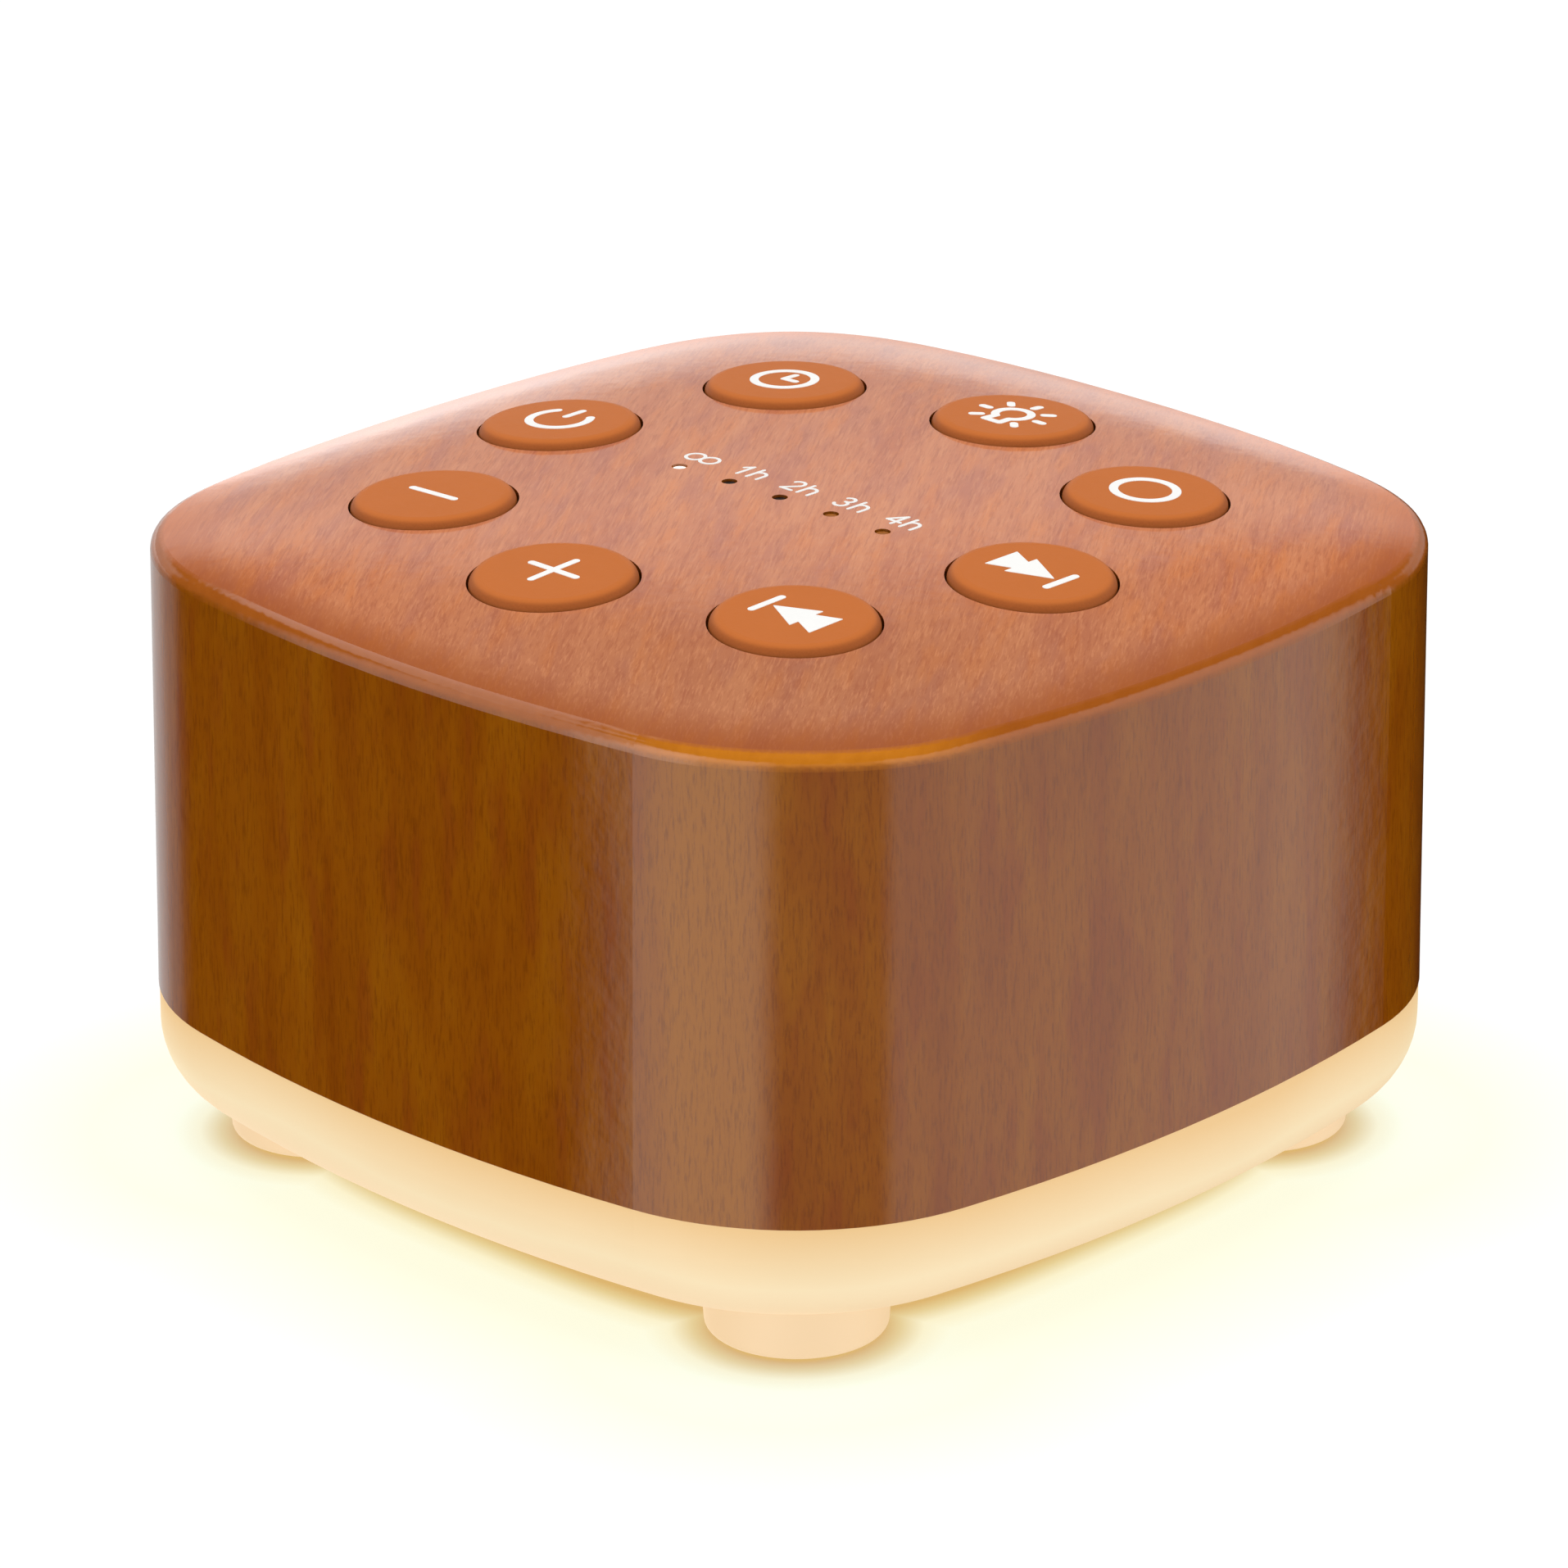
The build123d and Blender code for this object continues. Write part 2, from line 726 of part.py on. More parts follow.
# White plate over the base, with columns round the case screws and posts for the power board
power_post_spots = [(-power_post_reach, power_post_y), (power_post_reach, power_post_y)]
lead_hole_y = -led_ring_radius
with BuildPart() as reflector:
    with BuildSketch(Plane.XY.offset(reflector_bottom)):
        add(body_plan(reflector_inset))
        Circle(basket_radius + reflector_to_basket, mode=Mode.SUBTRACT)
        with Locations((0, lead_hole_y)):
            SlotOverall(2 * lead_slot, lead_slot, mode=Mode.SUBTRACT)
    extrude(amount=reflector_thickness)
    with BuildSketch(Plane.XY.offset(light_board_top)):
        with Locations(*foot_spots):
            Circle(reflector_column_radius)
    extrude(amount=reflector_column)
    with BuildSketch(Plane.XY.offset(reflector_top)):
        with Locations(*power_post_spots):
            Circle(power_post_radius)
    extrude(amount=power_post_height)
    with BuildSketch(Plane.XY.offset(light_board_top)):
        with Locations(*foot_spots):
            Circle(case_hole)
    extrude(amount=reflector_top - light_board_top, mode=Mode.SUBTRACT)
    with BuildSketch(Plane.XY.offset(reflector_top + power_post_height)):
        with Locations(*power_post_spots):
            Circle(power_screw_shank + pilot_fit)
    extrude(amount=-(power_screw_grip + screw_spare / 2), mode=Mode.SUBTRACT)
keep(reflector.part, "reflector_plate")


# ---------------------------------------------------------------- loudspeaker
gasket = turned(
    [
        (step_radius, floor_top),
        (speaker_rim, floor_top),
        (speaker_rim, speaker_seat),
        (step_radius, speaker_seat),
    ]
)
keep(gasket, "speaker_gasket")

basket_foot = speaker_clamp + speaker_sheet + basket_straight
basket_back = basket_foot + basket_depth
frame_top = basket_back + speaker_sheet
with BuildPart() as speaker_frame:
    add(
        turned(
            [
                (step_radius, speaker_seat),
                (speaker_rim, speaker_seat),
                (speaker_rim, speaker_clamp),
                (step_radius + speaker_sheet, speaker_clamp),
                (step_radius + speaker_sheet, speaker_clamp + speaker_sheet),
                (basket_radius + speaker_sheet, speaker_clamp + speaker_sheet),
                (basket_radius + speaker_sheet, basket_foot),
                (back_radius + speaker_sheet, frame_top),
                (neck_radius, frame_top),
                (neck_radius, basket_back),
                (back_radius, basket_back),
                (basket_radius, basket_foot),
                (basket_radius, speaker_clamp),
                (step_radius, speaker_clamp),
            ]
        )
    )
    with BuildSketch(Plane.XY.offset(basket_foot + (basket_depth - window_height) / 2)):
        with PolarLocations(basket_radius, window_count):
            Rectangle(basket_radius - neck_radius, window_width)
    extrude(amount=window_height, mode=Mode.SUBTRACT)
keep(speaker_frame.part, "speaker_frame")

magnet_top = frame_top + plate_thickness
magnet_back = magnet_top + ring_magnet_height
magnet = turned(
    [
        (0, frame_top),
        (pole_radius, frame_top),
        (pole_radius, magnet_back),
        (ring_magnet_hole, magnet_back),
        (ring_magnet_hole, magnet_top),
        (gap_radius, magnet_top),
        (gap_radius, frame_top),
        (plate_radius, frame_top),
        (plate_radius, magnet_top),
        (ring_magnet_radius, magnet_top),
        (ring_magnet_radius, magnet_back),
        (plate_radius, magnet_back),
        (plate_radius, magnet_back + plate_thickness),
        (0, magnet_back + plate_thickness),
    ]
)
keep(magnet, "speaker_magnet")

cone_top = speaker_clamp + cone_skin + cone_depth
cone = turned(
    [
        (cone_radius - cone_lip, speaker_clamp),
        (cone_radius, speaker_clamp),
        (cone_radius, speaker_clamp + cone_skin),
        (cone_radius - cone_lip + cone_skin, speaker_clamp + cone_skin),
        (coil_radius + coil_wall, cone_top),
        (coil_radius, cone_top),
        (coil_radius, cone_top - cone_skin),
        (coil_radius + cone_skin, cone_top - cone_skin),
    ]
)
keep(cone, "speaker_cone")

coil = turned(
    [
        (coil_radius, cone_top),
        (coil_radius + coil_wall, cone_top),
        (coil_radius + coil_wall, cone_top + coil_length),
        (coil_radius, cone_top + coil_length),
    ]
)
keep(coil, "speaker_coil")

# Half-roll surround, its outer edge glued under the frame's step, the inner one under the cone's lip
roll_middle = cone_radius + roll_gap + roll_radius
roll_inner = roll_radius - roll_skin
with BuildPart() as surround:
    with BuildSketch(Plane.XZ):
        with BuildLine():
            Polyline(
                (roll_middle - roll_radius, speaker_clamp),
                (cone_radius - cone_lip, speaker_clamp),
                (cone_radius - cone_lip, speaker_clamp - roll_skin),
                (roll_middle - roll_inner, speaker_clamp - roll_skin),
                (roll_middle - roll_inner, speaker_clamp),
            )
            CenterArc((roll_middle, speaker_clamp), roll_inner, 180, -180)
            Polyline(
                (roll_middle + roll_inner, speaker_clamp),
                (roll_middle + roll_inner, speaker_clamp - roll_skin),
                (step_radius - pilot_fit, speaker_clamp - roll_skin),
                (step_radius - pilot_fit, speaker_clamp),
                (roll_middle + roll_radius, speaker_clamp),
            )
            CenterArc((roll_middle, speaker_clamp), roll_radius, 0, 180)
        make_face()
    revolve(axis=Axis.Z)
keep(surround.part, "speaker_surround")

# Dust cap: a shallow dome over the cone's neck, rim close under the cone
dome_radius = (dust_cap_radius**2 + dust_cap_sag**2) / (2 * dust_cap_sag)
dome_angle = degrees(asin(dust_cap_radius / dome_radius))
cone_slope = cone_depth / (cone_radius - cone_lip - coil_radius - cone_skin)
dust_cap_rim = speaker_clamp + (cone_radius - cone_lip - dust_cap_radius) * cone_slope - dust_cap_skin
dome_middle = dust_cap_rim - dust_cap_sag + dome_radius
with BuildPart() as dust_cap:
    with BuildSketch(Plane.XZ):
        with BuildLine():
            outer = CenterArc((0, dome_middle), dome_radius, -90, dome_angle)
            inner = CenterArc((0, dome_middle), dome_radius - dust_cap_skin, -90, dome_angle)
            Line(outer @ 0, inner @ 0)
            Line(outer @ 1, inner @ 1)
        make_face()
    revolve(axis=Axis.Z)
keep(dust_cap.part, "speaker_dust_cap")

# Terminal strip on the basket's back, with two solder tags
terminal_x = -(ring_magnet_radius + back_radius + speaker_sheet) / 2
with BuildPart() as terminal:
    with BuildSketch(Plane.XY.offset(frame_top)):
        with Locations((terminal_x, 0)):
            Rectangle(terminal_width, terminal_length)
    extrude(amount=terminal_height)
    with BuildSketch(Plane.XY.offset(frame_top + terminal_height)):
        with Locations((terminal_x, -wire_pitch / 2), (terminal_x, wire_pitch / 2)):
            Rectangle(tag_width, wire_radius * 2)
    extrude(amount=tag_height)
keep(terminal.part, "speaker_terminal")

speaker_screws = screws(
    speaker_boss_spots,
    speaker_clamp,
    speaker_screw_shank,
    speaker_screw_grip,
    speaker_screw_head,
    speaker_screw_head_height,
    up=False,
)
keep(speaker_screws, "speaker_screws")


# ---------------------------------------------------------------- power inlet
power_board_middle = power_board_back - power_board_depth / 2
with BuildPart() as power_board:
    with BuildSketch(Plane.XY.offset(power_board_top - power_board_thickness)):
        with Locations((0, power_board_middle)):
            RectangleRounded(power_board_length, power_board_depth, power_board_corner)
        with Locations(*power_post_spots):
            Circle(power_screw_shank + screw_room, mode=Mode.SUBTRACT)
    extrude(amount=power_board_thickness)
keep(power_board.part, "power_board")

power_screws = screws(
    power_post_spots,
    power_board_top,
    power_screw_shank,
    power_board_thickness + power_screw_grip,
    power_screw_head,
    power_screw_head_height,
    up=False,
)
keep(power_screws, "power_board_screws")

inlet_plane = Plane(origin=(0, inlet_front, inlet_level), x_dir=(1, 0, 0), z_dir=(0, -1, 0))
with BuildPart() as inlet:
    with BuildSketch(inlet_plane):
        SlotOverall(inlet_width, inlet_height)
    extrude(amount=inlet_depth)
    with BuildSketch(inlet_plane):
        SlotOverall(inlet_width - 2 * inlet_skin, inlet_height - 2 * inlet_skin)
        Rectangle(inlet_tongue_width, inlet_tongue_thickness, mode=Mode.SUBTRACT)
    extrude(amount=inlet_depth - inlet_back, mode=Mode.SUBTRACT)
keep(inlet.part, "power_inlet")


# ---------------------------------------------------------------- internal leads
def lead_route(start, end, rise, bends):
    """A route that rises from the start, slacks through the bends and runs up into the end.

    Each bend is a pair of shares, of the way across and of the way up between the two straights.
    """
    low = Vector(*start) + Vector(0, 0, rise)
    high = Vector(*end) - Vector(0, 0, lead_run_in)
    across = Vector(high.X - low.X, high.Y - low.Y, 0)
    up = Vector(0, 0, high.Z - low.Z)
    middle = [low + across * share_across + up * share_up for share_across, share_up in bends]
    return [Vector(*start), low, *middle, high, Vector(*end)]


def bend_radii(points):
    """At each corner, the arc that takes 0.45 of the shorter run on either side."""
    radii = []
    for before, corner, after in zip(points, points[1:], points[2:]):
        half_turn = radians((corner - before).get_angle(after - corner)) / 2
        shorter = min((corner - before).length, (after - corner).length)
        radii.append(0.45 * shorter / tan(half_turn))
    return radii


def two_wires(name, points, spread):
    """A pair of insulated wires along one route, a pitch apart in the spread direction."""
    radii = bend_radii(points)
    print(name, "bend radii", [round(radius, 1) for radius in radii])
    with BuildPart() as lead:
        for side in (-wire_pitch / 2, wire_pitch / 2):
            with BuildLine() as route:
                FilletPolyline(*[point + spread * side for point in points], radius=radii)
            with BuildSketch(Plane(origin=route.line @ 0, z_dir=route.line % 0)) as section:
                Circle(wire_radius)
            sweep(sections=section.sketch, path=route.line)
    return lead.part


socket_level = board_bottom - socket_floor
tag_top = frame_top + terminal_height + tag_height
speaker_socket_spot = (-socket_reach, 0, socket_level)
speaker_route = lead_route((terminal_x, 0, tag_top), speaker_socket_spot, speaker_lead_rise, [])
keep(two_wires("speaker_lead", speaker_route, Vector(0, 1, 0)), "speaker_lead")

light_pads = (0, lead_hole_y, light_board_top)
light_socket_spot = (0, -socket_reach, socket_level)
light_route = lead_route(light_pads, light_socket_spot, light_lead_rise, [(0.3, 0.5), (0.7, 0.66)])
keep(two_wires("light_lead", light_route, Vector(1, 0, 0)), "light_lead")

power_pads = (0, power_pad_y, power_board_top)
power_socket_spot = (0, socket_reach, socket_level)
power_route = lead_route(power_pads, power_socket_spot, power_lead_rise, [(0.32, 0.75), (0.7, 0.44)])
keep(two_wires("power_lead", power_route, Vector(1, 0, 0)), "power_lead")
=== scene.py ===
"""Looks of a table-top white noise sound machine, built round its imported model."""
import logging
import math
from dataclasses import dataclass, field
from enum import Enum
from typing import Callable, Optional, Sequence, Union

import bmesh
import bpy
from mathutils import Matrix, Vector
from mathutils.bvhtree import BVHTree


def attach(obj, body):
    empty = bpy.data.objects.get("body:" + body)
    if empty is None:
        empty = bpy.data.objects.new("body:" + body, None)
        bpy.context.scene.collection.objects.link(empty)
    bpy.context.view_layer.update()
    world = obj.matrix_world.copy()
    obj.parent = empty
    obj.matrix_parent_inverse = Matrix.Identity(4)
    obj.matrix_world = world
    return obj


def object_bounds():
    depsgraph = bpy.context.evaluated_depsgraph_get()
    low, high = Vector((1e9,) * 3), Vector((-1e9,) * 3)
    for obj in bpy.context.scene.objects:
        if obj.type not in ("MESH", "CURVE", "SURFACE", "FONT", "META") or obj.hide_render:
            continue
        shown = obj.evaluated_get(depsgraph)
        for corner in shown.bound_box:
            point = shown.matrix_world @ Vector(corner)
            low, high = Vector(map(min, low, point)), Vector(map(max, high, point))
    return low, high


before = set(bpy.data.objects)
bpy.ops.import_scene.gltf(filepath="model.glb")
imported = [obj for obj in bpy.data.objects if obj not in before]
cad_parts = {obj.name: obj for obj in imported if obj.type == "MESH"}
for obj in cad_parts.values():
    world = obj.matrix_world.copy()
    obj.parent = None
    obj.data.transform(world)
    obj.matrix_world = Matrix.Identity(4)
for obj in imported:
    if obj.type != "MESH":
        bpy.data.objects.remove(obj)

for leftover in ("Cube", "Light", "Camera"):
    if leftover in bpy.data.objects:
        bpy.data.objects.remove(bpy.data.objects[leftover])
bpy.context.view_layer.update()
CAD_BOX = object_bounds()

MM = 0.001
HALF_WIDTH = CAD_BOX[1].x / MM
PLAN_POWER = 3.42
LOG = logging.getLogger("sound_machine")
Colour = tuple[float, float, float, float]
Tones = tuple[tuple[float, Colour], ...]
Spot = tuple[float, float]


def srgb(red: int, green: int, blue: int) -> Colour:
    """The linear colour of a display colour given in 0 to 255."""

    def linear(level: int) -> float:
        """One channel, from its display level."""
        share = level / 255
        return share / 12.92 if share <= 0.04045 else ((share + 0.055) / 1.055) ** 2.4

    return (linear(red), linear(green), linear(blue), 1.0)


def grey(level: float) -> Colour:
    """A neutral colour of this linear level."""
    return (level, level, level, 1.0)


def toned(colour: Colour, share: float) -> Colour:
    """A colour with its light scaled by share."""
    red, green, blue, alpha = colour
    return (share * red, share * green, share * blue, alpha)


# ---------------------------------------------------------------- shader building
class Scalar:
    """A number in a node tree. Python's operators on it add Math nodes."""

    def __init__(self, nodes: "Nodes", socket: bpy.types.NodeSocket) -> None:
        """Wraps an output socket of a tree."""
        self.nodes = nodes
        self.socket = socket

    def __add__(self, other: "Number") -> "Scalar":
        """Self plus other."""
        return self.nodes.math("ADD", self, other)

    __radd__ = __add__

    def __sub__(self, other: "Number") -> "Scalar":
        """Self minus other."""
        return self.nodes.math("SUBTRACT", self, other)

    def __rsub__(self, other: "Number") -> "Scalar":
        """Other minus self."""
        return self.nodes.math("SUBTRACT", other, self)

    def __mul__(self, other: "Number") -> "Scalar":
        """Self times other."""
        return self.nodes.math("MULTIPLY", self, other)

    __rmul__ = __mul__

    def __truediv__(self, other: "Number") -> "Scalar":
        """Self divided by other."""
        return self.nodes.math("DIVIDE", self, other)


Number = Union[float, Scalar]
Input = Union[float, Sequence[float], Scalar, bpy.types.NodeSocket]


class Nodes:
    """Adds nodes to one node tree."""

    def __init__(self, tree: bpy.types.NodeTree) -> None:
        """Takes the tree of a material or world."""
        self.tree = tree

    def node(
        self,
        kind: str,
        settings: Optional[dict[str, object]] = None,
        sockets: Optional[dict[Union[int, str], Input]] = None,
    ) -> bpy.types.Node:
        """Adds a node.

        Args:
            kind: The node's type.
            settings: Its own settings, with a ramp's stops as "stops".
            sockets: A value or link for each named or numbered input.

        Returns:
            The new node.
        """
        node = self.tree.nodes.new(kind)
        for name, value in (settings or {}).items():
            if name == "stops":
                self._set_stops(node.color_ramp, value)
            else:
                setattr(node, name, value)
        for name, value in (sockets or {}).items():
            self.feed(node.inputs[name], value)
        return node

    @staticmethod
    def _set_stops(ramp: bpy.types.ColorRamp, stops: Sequence[tuple[float, Colour]]) -> None:
        """Gives a ramp these positions and colours, in rising order."""
        while len(ramp.elements) < len(stops):
            ramp.elements.new(1.0)
        for element, (position, colour) in zip(ramp.elements, stops):
            element.position = position
            element.color = colour

    def feed(self, socket: bpy.types.NodeSocket, value: Input) -> None:
        """Links or sets one input."""
        if isinstance(value, Scalar):
            value = value.socket
        if isinstance(value, bpy.types.NodeSocket):
            self.tree.links.new(value, socket)
        else:
            socket.default_value = value

    def math(self, operation: str, *values: Number) -> Scalar:
        """One Math node on these values."""
        node = self.node("ShaderNodeMath", {"operation": operation}, dict(enumerate(values)))
        return Scalar(self, node.outputs[0])

    def smooth(self, value: Number, low: float, high: float) -> Scalar:
        """Goes smoothly from 0 at low to 1 at high."""
        settings = {"interpolation_type": "SMOOTHSTEP"}
        sockets = {"Value": value, "From Min": low, "From Max": high}
        return Scalar(self, self.node("ShaderNodeMapRange", settings, sockets).outputs[0])

    def mix(self, share: Number, first: Input, second: Input) -> bpy.types.NodeSocket:
        """Mixes two colours by share."""
        settings = {"data_type": "RGBA", "blend_type": "MIX"}
        return self.node("ShaderNodeMix", settings, {0: share, 6: first, 7: second}).outputs[2]

    def ramp(self, value: Number, stops: Sequence[tuple[float, Colour]]) -> bpy.types.NodeSocket:
        """Colours a value by stops."""
        return self.node("ShaderNodeValToRGB", {"stops": stops}, {"Fac": value}).outputs["Color"]

    def noise(
        self, place: Input, scale: float, detail: float = 3.0, rough: float = 0.5, bend: float = 0.0
    ) -> Scalar:
        """Cloudy noise from 0 to 1; scale is in clouds per unit of place."""
        sockets = {"Vector": place, "Scale": scale, "Detail": detail, "Roughness": rough, "Distortion": bend}
        return Scalar(self, self.node("ShaderNodeTexNoise", sockets=sockets).outputs[0])

    def patches(self, place: Input, scale: float, low: float, high: float) -> Scalar:
        """Soft-edged patches: 0 where the noise is under low, 1 where it is over high."""
        return self.smooth(self.noise(place, scale), low, high)

    def stretched(self, place: Input, turn: float, sizes: tuple[float, float, float]) -> bpy.types.NodeSocket:
        """Lays patterns along a direction.

        Args:
            place: The place that the pattern reads.
            turn: The direction's angle from +X, in radians.
            sizes: How much longer the pattern gets along the direction, across it and upwards.

        Returns:
            The place to give to the pattern.
        """
        sockets = {"Vector": place, "Rotation": (0.0, 0.0, turn), "Scale": sizes}
        return self.node("ShaderNodeMapping", {"vector_type": "TEXTURE"}, sockets).outputs[0]

    def parts(self, vector: Input) -> tuple[Scalar, Scalar, Scalar]:
        """The three numbers of a vector."""
        split = self.node("ShaderNodeSeparateXYZ", sockets={0: vector})
        return tuple(Scalar(self, output) for output in split.outputs)


class Shader(Nodes):
    """A new material, its Principled surface fed one socket at a time."""

    def __init__(self, name: str) -> None:
        """Adds an empty material of this name."""
        self.material = bpy.data.materials.new(name)
        self.material.use_nodes = True
        super().__init__(self.material.node_tree)
        self.surface = self.tree.nodes["Principled BSDF"]

    def set(self, **sockets: Input) -> None:
        """Sets surface sockets, each named with _ for a space."""
        for name, value in sockets.items():
            self.feed(self.surface.inputs[name.replace("_", " ")], value)

    def place(self) -> bpy.types.NodeSocket:
        """The place on the machine, in millimetres."""
        spot = self.node("ShaderNodeTexCoord").outputs["Object"]
        settings = {"operation": "SCALE"}
        return self.node("ShaderNodeVectorMath", settings, {0: spot, "Scale": 1 / MM}).outputs[0]

    def upward(self) -> Scalar:
        """How much the surface faces up, from -1 to 1."""
        return self.parts(self.node("ShaderNodeNewGeometry").outputs["Normal"])[2]

    def outward(self, place: Input) -> Scalar:
        """How far out a place lies in the machine's plan, in millimetres as at a side's middle."""
        along, across, _ = (self.math("ABSOLUTE", part) for part in self.parts(place))
        swept = self.math("POWER", along, PLAN_POWER) + self.math("POWER", across, PLAN_POWER)
        return self.math("POWER", swept, 1 / PLAN_POWER)

    def front_corner(self, place: Input, low: float, high: float) -> Scalar:
        """1 in the machine's front right corner, by how far both to the right and to the front."""
        right, back, _ = self.parts(place)
        return self.smooth(self.math("MINIMUM", right, -1 * back), low, high)

    def bump(self, height: Scalar, depth: float) -> None:
        """Raises the surface by height times depth, in millimetres."""
        sockets = {"Height": height, "Distance": depth * MM, "Strength": 1.0}
        self.set(Normal=self.node("ShaderNodeBump", sockets=sockets).outputs[0])


# ---------------------------------------------------------------- finishes
@dataclass(frozen=True)
class Finish:
    """A named surface finish."""

    name: str

    def material(self) -> bpy.types.Material:
        """Builds the finish as a material."""
        shader = Shader(self.name)
        self.paint(shader, shader.place())
        return shader.material

    def paint(self, shader: Shader, place: Input) -> None:
        """Feeds the surface of a material.

        Args:
            shader: The new material.
            place: The place on the machine, in millimetres.
        """
        raise NotImplementedError


@dataclass(frozen=True)
class LacqueredWood(Finish):
    """Glossy wood: figured grain across the top and upright fibres round the walls."""

    grain_turn: float = math.radians(125)
    gloss: float = 0.08
    gloss_spread: float = 0.04
    relief: float = 0.012
    edge_start: float = HALF_WIDTH - 7.5
    edge_end: float = HALF_WIDTH - 1.5
    board: Tones = ((0.3, srgb(199, 119, 86)), (0.5, srgb(212, 132, 92)), (0.7, srgb(220, 141, 98)))
    mauve: Colour = srgb(186, 114, 96)
    orange: Colour = srgb(226, 134, 74)
    front_painted_shade: Colour = srgb(161, 111, 81)
    edge_sheen_behind: Colour = srgb(255, 146, 80)
    edge_shade_in_front: Colour = srgb(164, 80, 24)
    dark_fibre: Colour = srgb(168, 92, 66)
    pale_fibre: Colour = srgb(238, 164, 118)
    rim_side: tuple[Colour, Colour] = (srgb(160, 82, 20), srgb(176, 96, 32))
    rim_corner: tuple[Colour, Colour] = (srgb(194, 112, 18), srgb(216, 132, 34))
    rim_sheen_behind: tuple[Colour, Colour] = (srgb(222, 132, 88), srgb(238, 146, 100))
    wall_board: Tones = ((0.3, srgb(136, 68, 0)), (0.5, srgb(146, 78, 0)), (0.7, srgb(154, 88, 2)))
    wall_red: Colour = srgb(134, 60, 10)
    wall_stripe: Colour = srgb(166, 100, 4)
    wall_fleck: Colour = srgb(98, 42, 0)

    def paint(self, shader: Shader, place: Input) -> None:
        """Feeds colour by the way the surface faces, gloss and a trace of relief."""
        level = shader.upward()
        wall, rim, top = (part(shader, place) for part in (self._wall, self._rim, self._top))
        side = shader.mix(shader.smooth(level, 0.02, 0.5), wall, rim)
        shader.set(Base_Color=shader.mix(shader.smooth(level, 0.84, 0.99), side, top))
        shader.set(Roughness=self.gloss + self.gloss_spread * shader.noise(place, 0.35, 2.0))
        shader.bump(shader.noise(place, 0.6, 2.0), self.relief)

    def _top(self, shader: Shader, place: Input) -> bpy.types.NodeSocket:
        """Pink-brown board with faint mauve and orange figure and fine fibres.

        It has painted shade towards the front right corner. Its edge is orange with painted shade in front,
        and pink with painted sheen behind.
        """
        figure = shader.stretched(place, self.grain_turn, (5.0, 1.0, 1.0))
        fibres = shader.stretched(place, self.grain_turn, (12.0, 1.0, 1.0))
        colour = shader.ramp(shader.noise(figure, 0.24, 4.0, 0.6, 0.3), self.board)
        colour = shader.mix(0.46 * shader.patches(figure, 0.33, 0.46, 0.68), colour, self.mauve)
        colour = shader.mix(0.42 * shader.patches(figure, 0.5, 0.48, 0.68), colour, self.orange)
        right, back, _ = shader.parts(place)
        front = right - back
        # Painted shade: the board darkens towards the front right corner.
        colour = shader.mix(0.4 * shader.smooth(front, 15.0, 75.0), colour, self.front_painted_shade)
        edge = shader.smooth(shader.outward(place), self.edge_start, self.edge_end)
        # Painted sheen and shade on the top's orange edge: paler behind, darker in front.
        edge_sheen_and_shade = shader.mix(shader.smooth(front, -35.0, 25.0), self.edge_sheen_behind, self.edge_shade_in_front)
        colour = shader.mix(0.66 * edge, colour, edge_sheen_and_shade)
        dark = shader.smooth(shader.noise(fibres, 3.0, 3.0, 0.7), 0.46, 0.66)
        colour = shader.mix(0.38 * dark * (1 - 0.5 * edge), colour, self.dark_fibre)
        pale = shader.smooth(shader.noise(fibres, 4.4, 2.0, 0.6), 0.5, 0.68)
        return shader.mix(0.26 * pale * (1 - 0.8 * edge), colour, self.pale_fibre)

    def _rim(self, shader: Shader, place: Input) -> bpy.types.NodeSocket:
        """Orange brown round the edge, amber at the front right corner, and paler behind as a painted sheen.
        """
        streaks = shader.noise(shader.stretched(place, self.grain_turn, (9.0, 1.0, 1.0)), 0.9, 3.0, 0.6)
        side, corner, behind = (
            shader.mix(streaks, *tones) for tones in (self.rim_side, self.rim_corner, self.rim_sheen_behind)
        )
        right, back, _ = shader.parts(place)
        # Painted sheen: the rim pales towards the back.
        side = shader.mix(shader.smooth(back - right, 10.0, 50.0), side, behind)
        return shader.mix(shader.front_corner(place, 22.0, 36.0), side, corner)

    def _wall(self, shader: Shader, place: Input) -> bpy.types.NodeSocket:
        """Deep golden brown with faint upright clouds, a paler stripe and short fine flecks."""
        clouds = shader.stretched(place, 0.0, (1.0, 1.0, 5.0))
        flecks = shader.stretched(place, 0.0, (1.0, 1.0, 9.0))
        colour = shader.ramp(shader.noise(clouds, 0.2, 4.0, 0.65, 0.3), self.wall_board)
        colour = shader.mix(0.5 * shader.patches(clouds, 0.36, 0.5, 0.7), colour, self.wall_red)
        right = shader.parts(place)[0]
        stripe = shader.smooth(right, 28.0, 33.5) * (1 - shader.smooth(right, 38.0, 41.5))
        colour = shader.mix(0.8 * stripe, colour, self.wall_stripe)
        dark = shader.smooth(shader.noise(flecks, 4.2, 3.0, 0.7), 0.46, 0.68)
        return shader.mix(0.42 * dark, colour, self.wall_fleck)


@dataclass(frozen=True)
class MouldedPlastic(Finish):
    """Plain moulded plastic with a fine satin texture."""

    colour: Colour
    roughness: float = 0.45
    shade: float = 0.9
    texture: float = 0.01
    shine: float = 0.5

    def paint(self, shader: Shader, place: Input) -> None:
        """Feeds a barely uneven colour and a fine relief."""
        cloud = shader.smooth(shader.noise(place, 0.22), 0.3, 0.7)
        shader.set(Base_Color=shader.mix(cloud, self.colour, toned(self.colour, self.shade)))
        shader.set(Roughness=self.roughness + 0.08 * shader.noise(place, 1.4, 2.0) - 0.04)
        shader.set(Specular_IOR_Level=self.shine)
        shader.bump(shader.noise(place, 9.0, 1.0), self.texture)


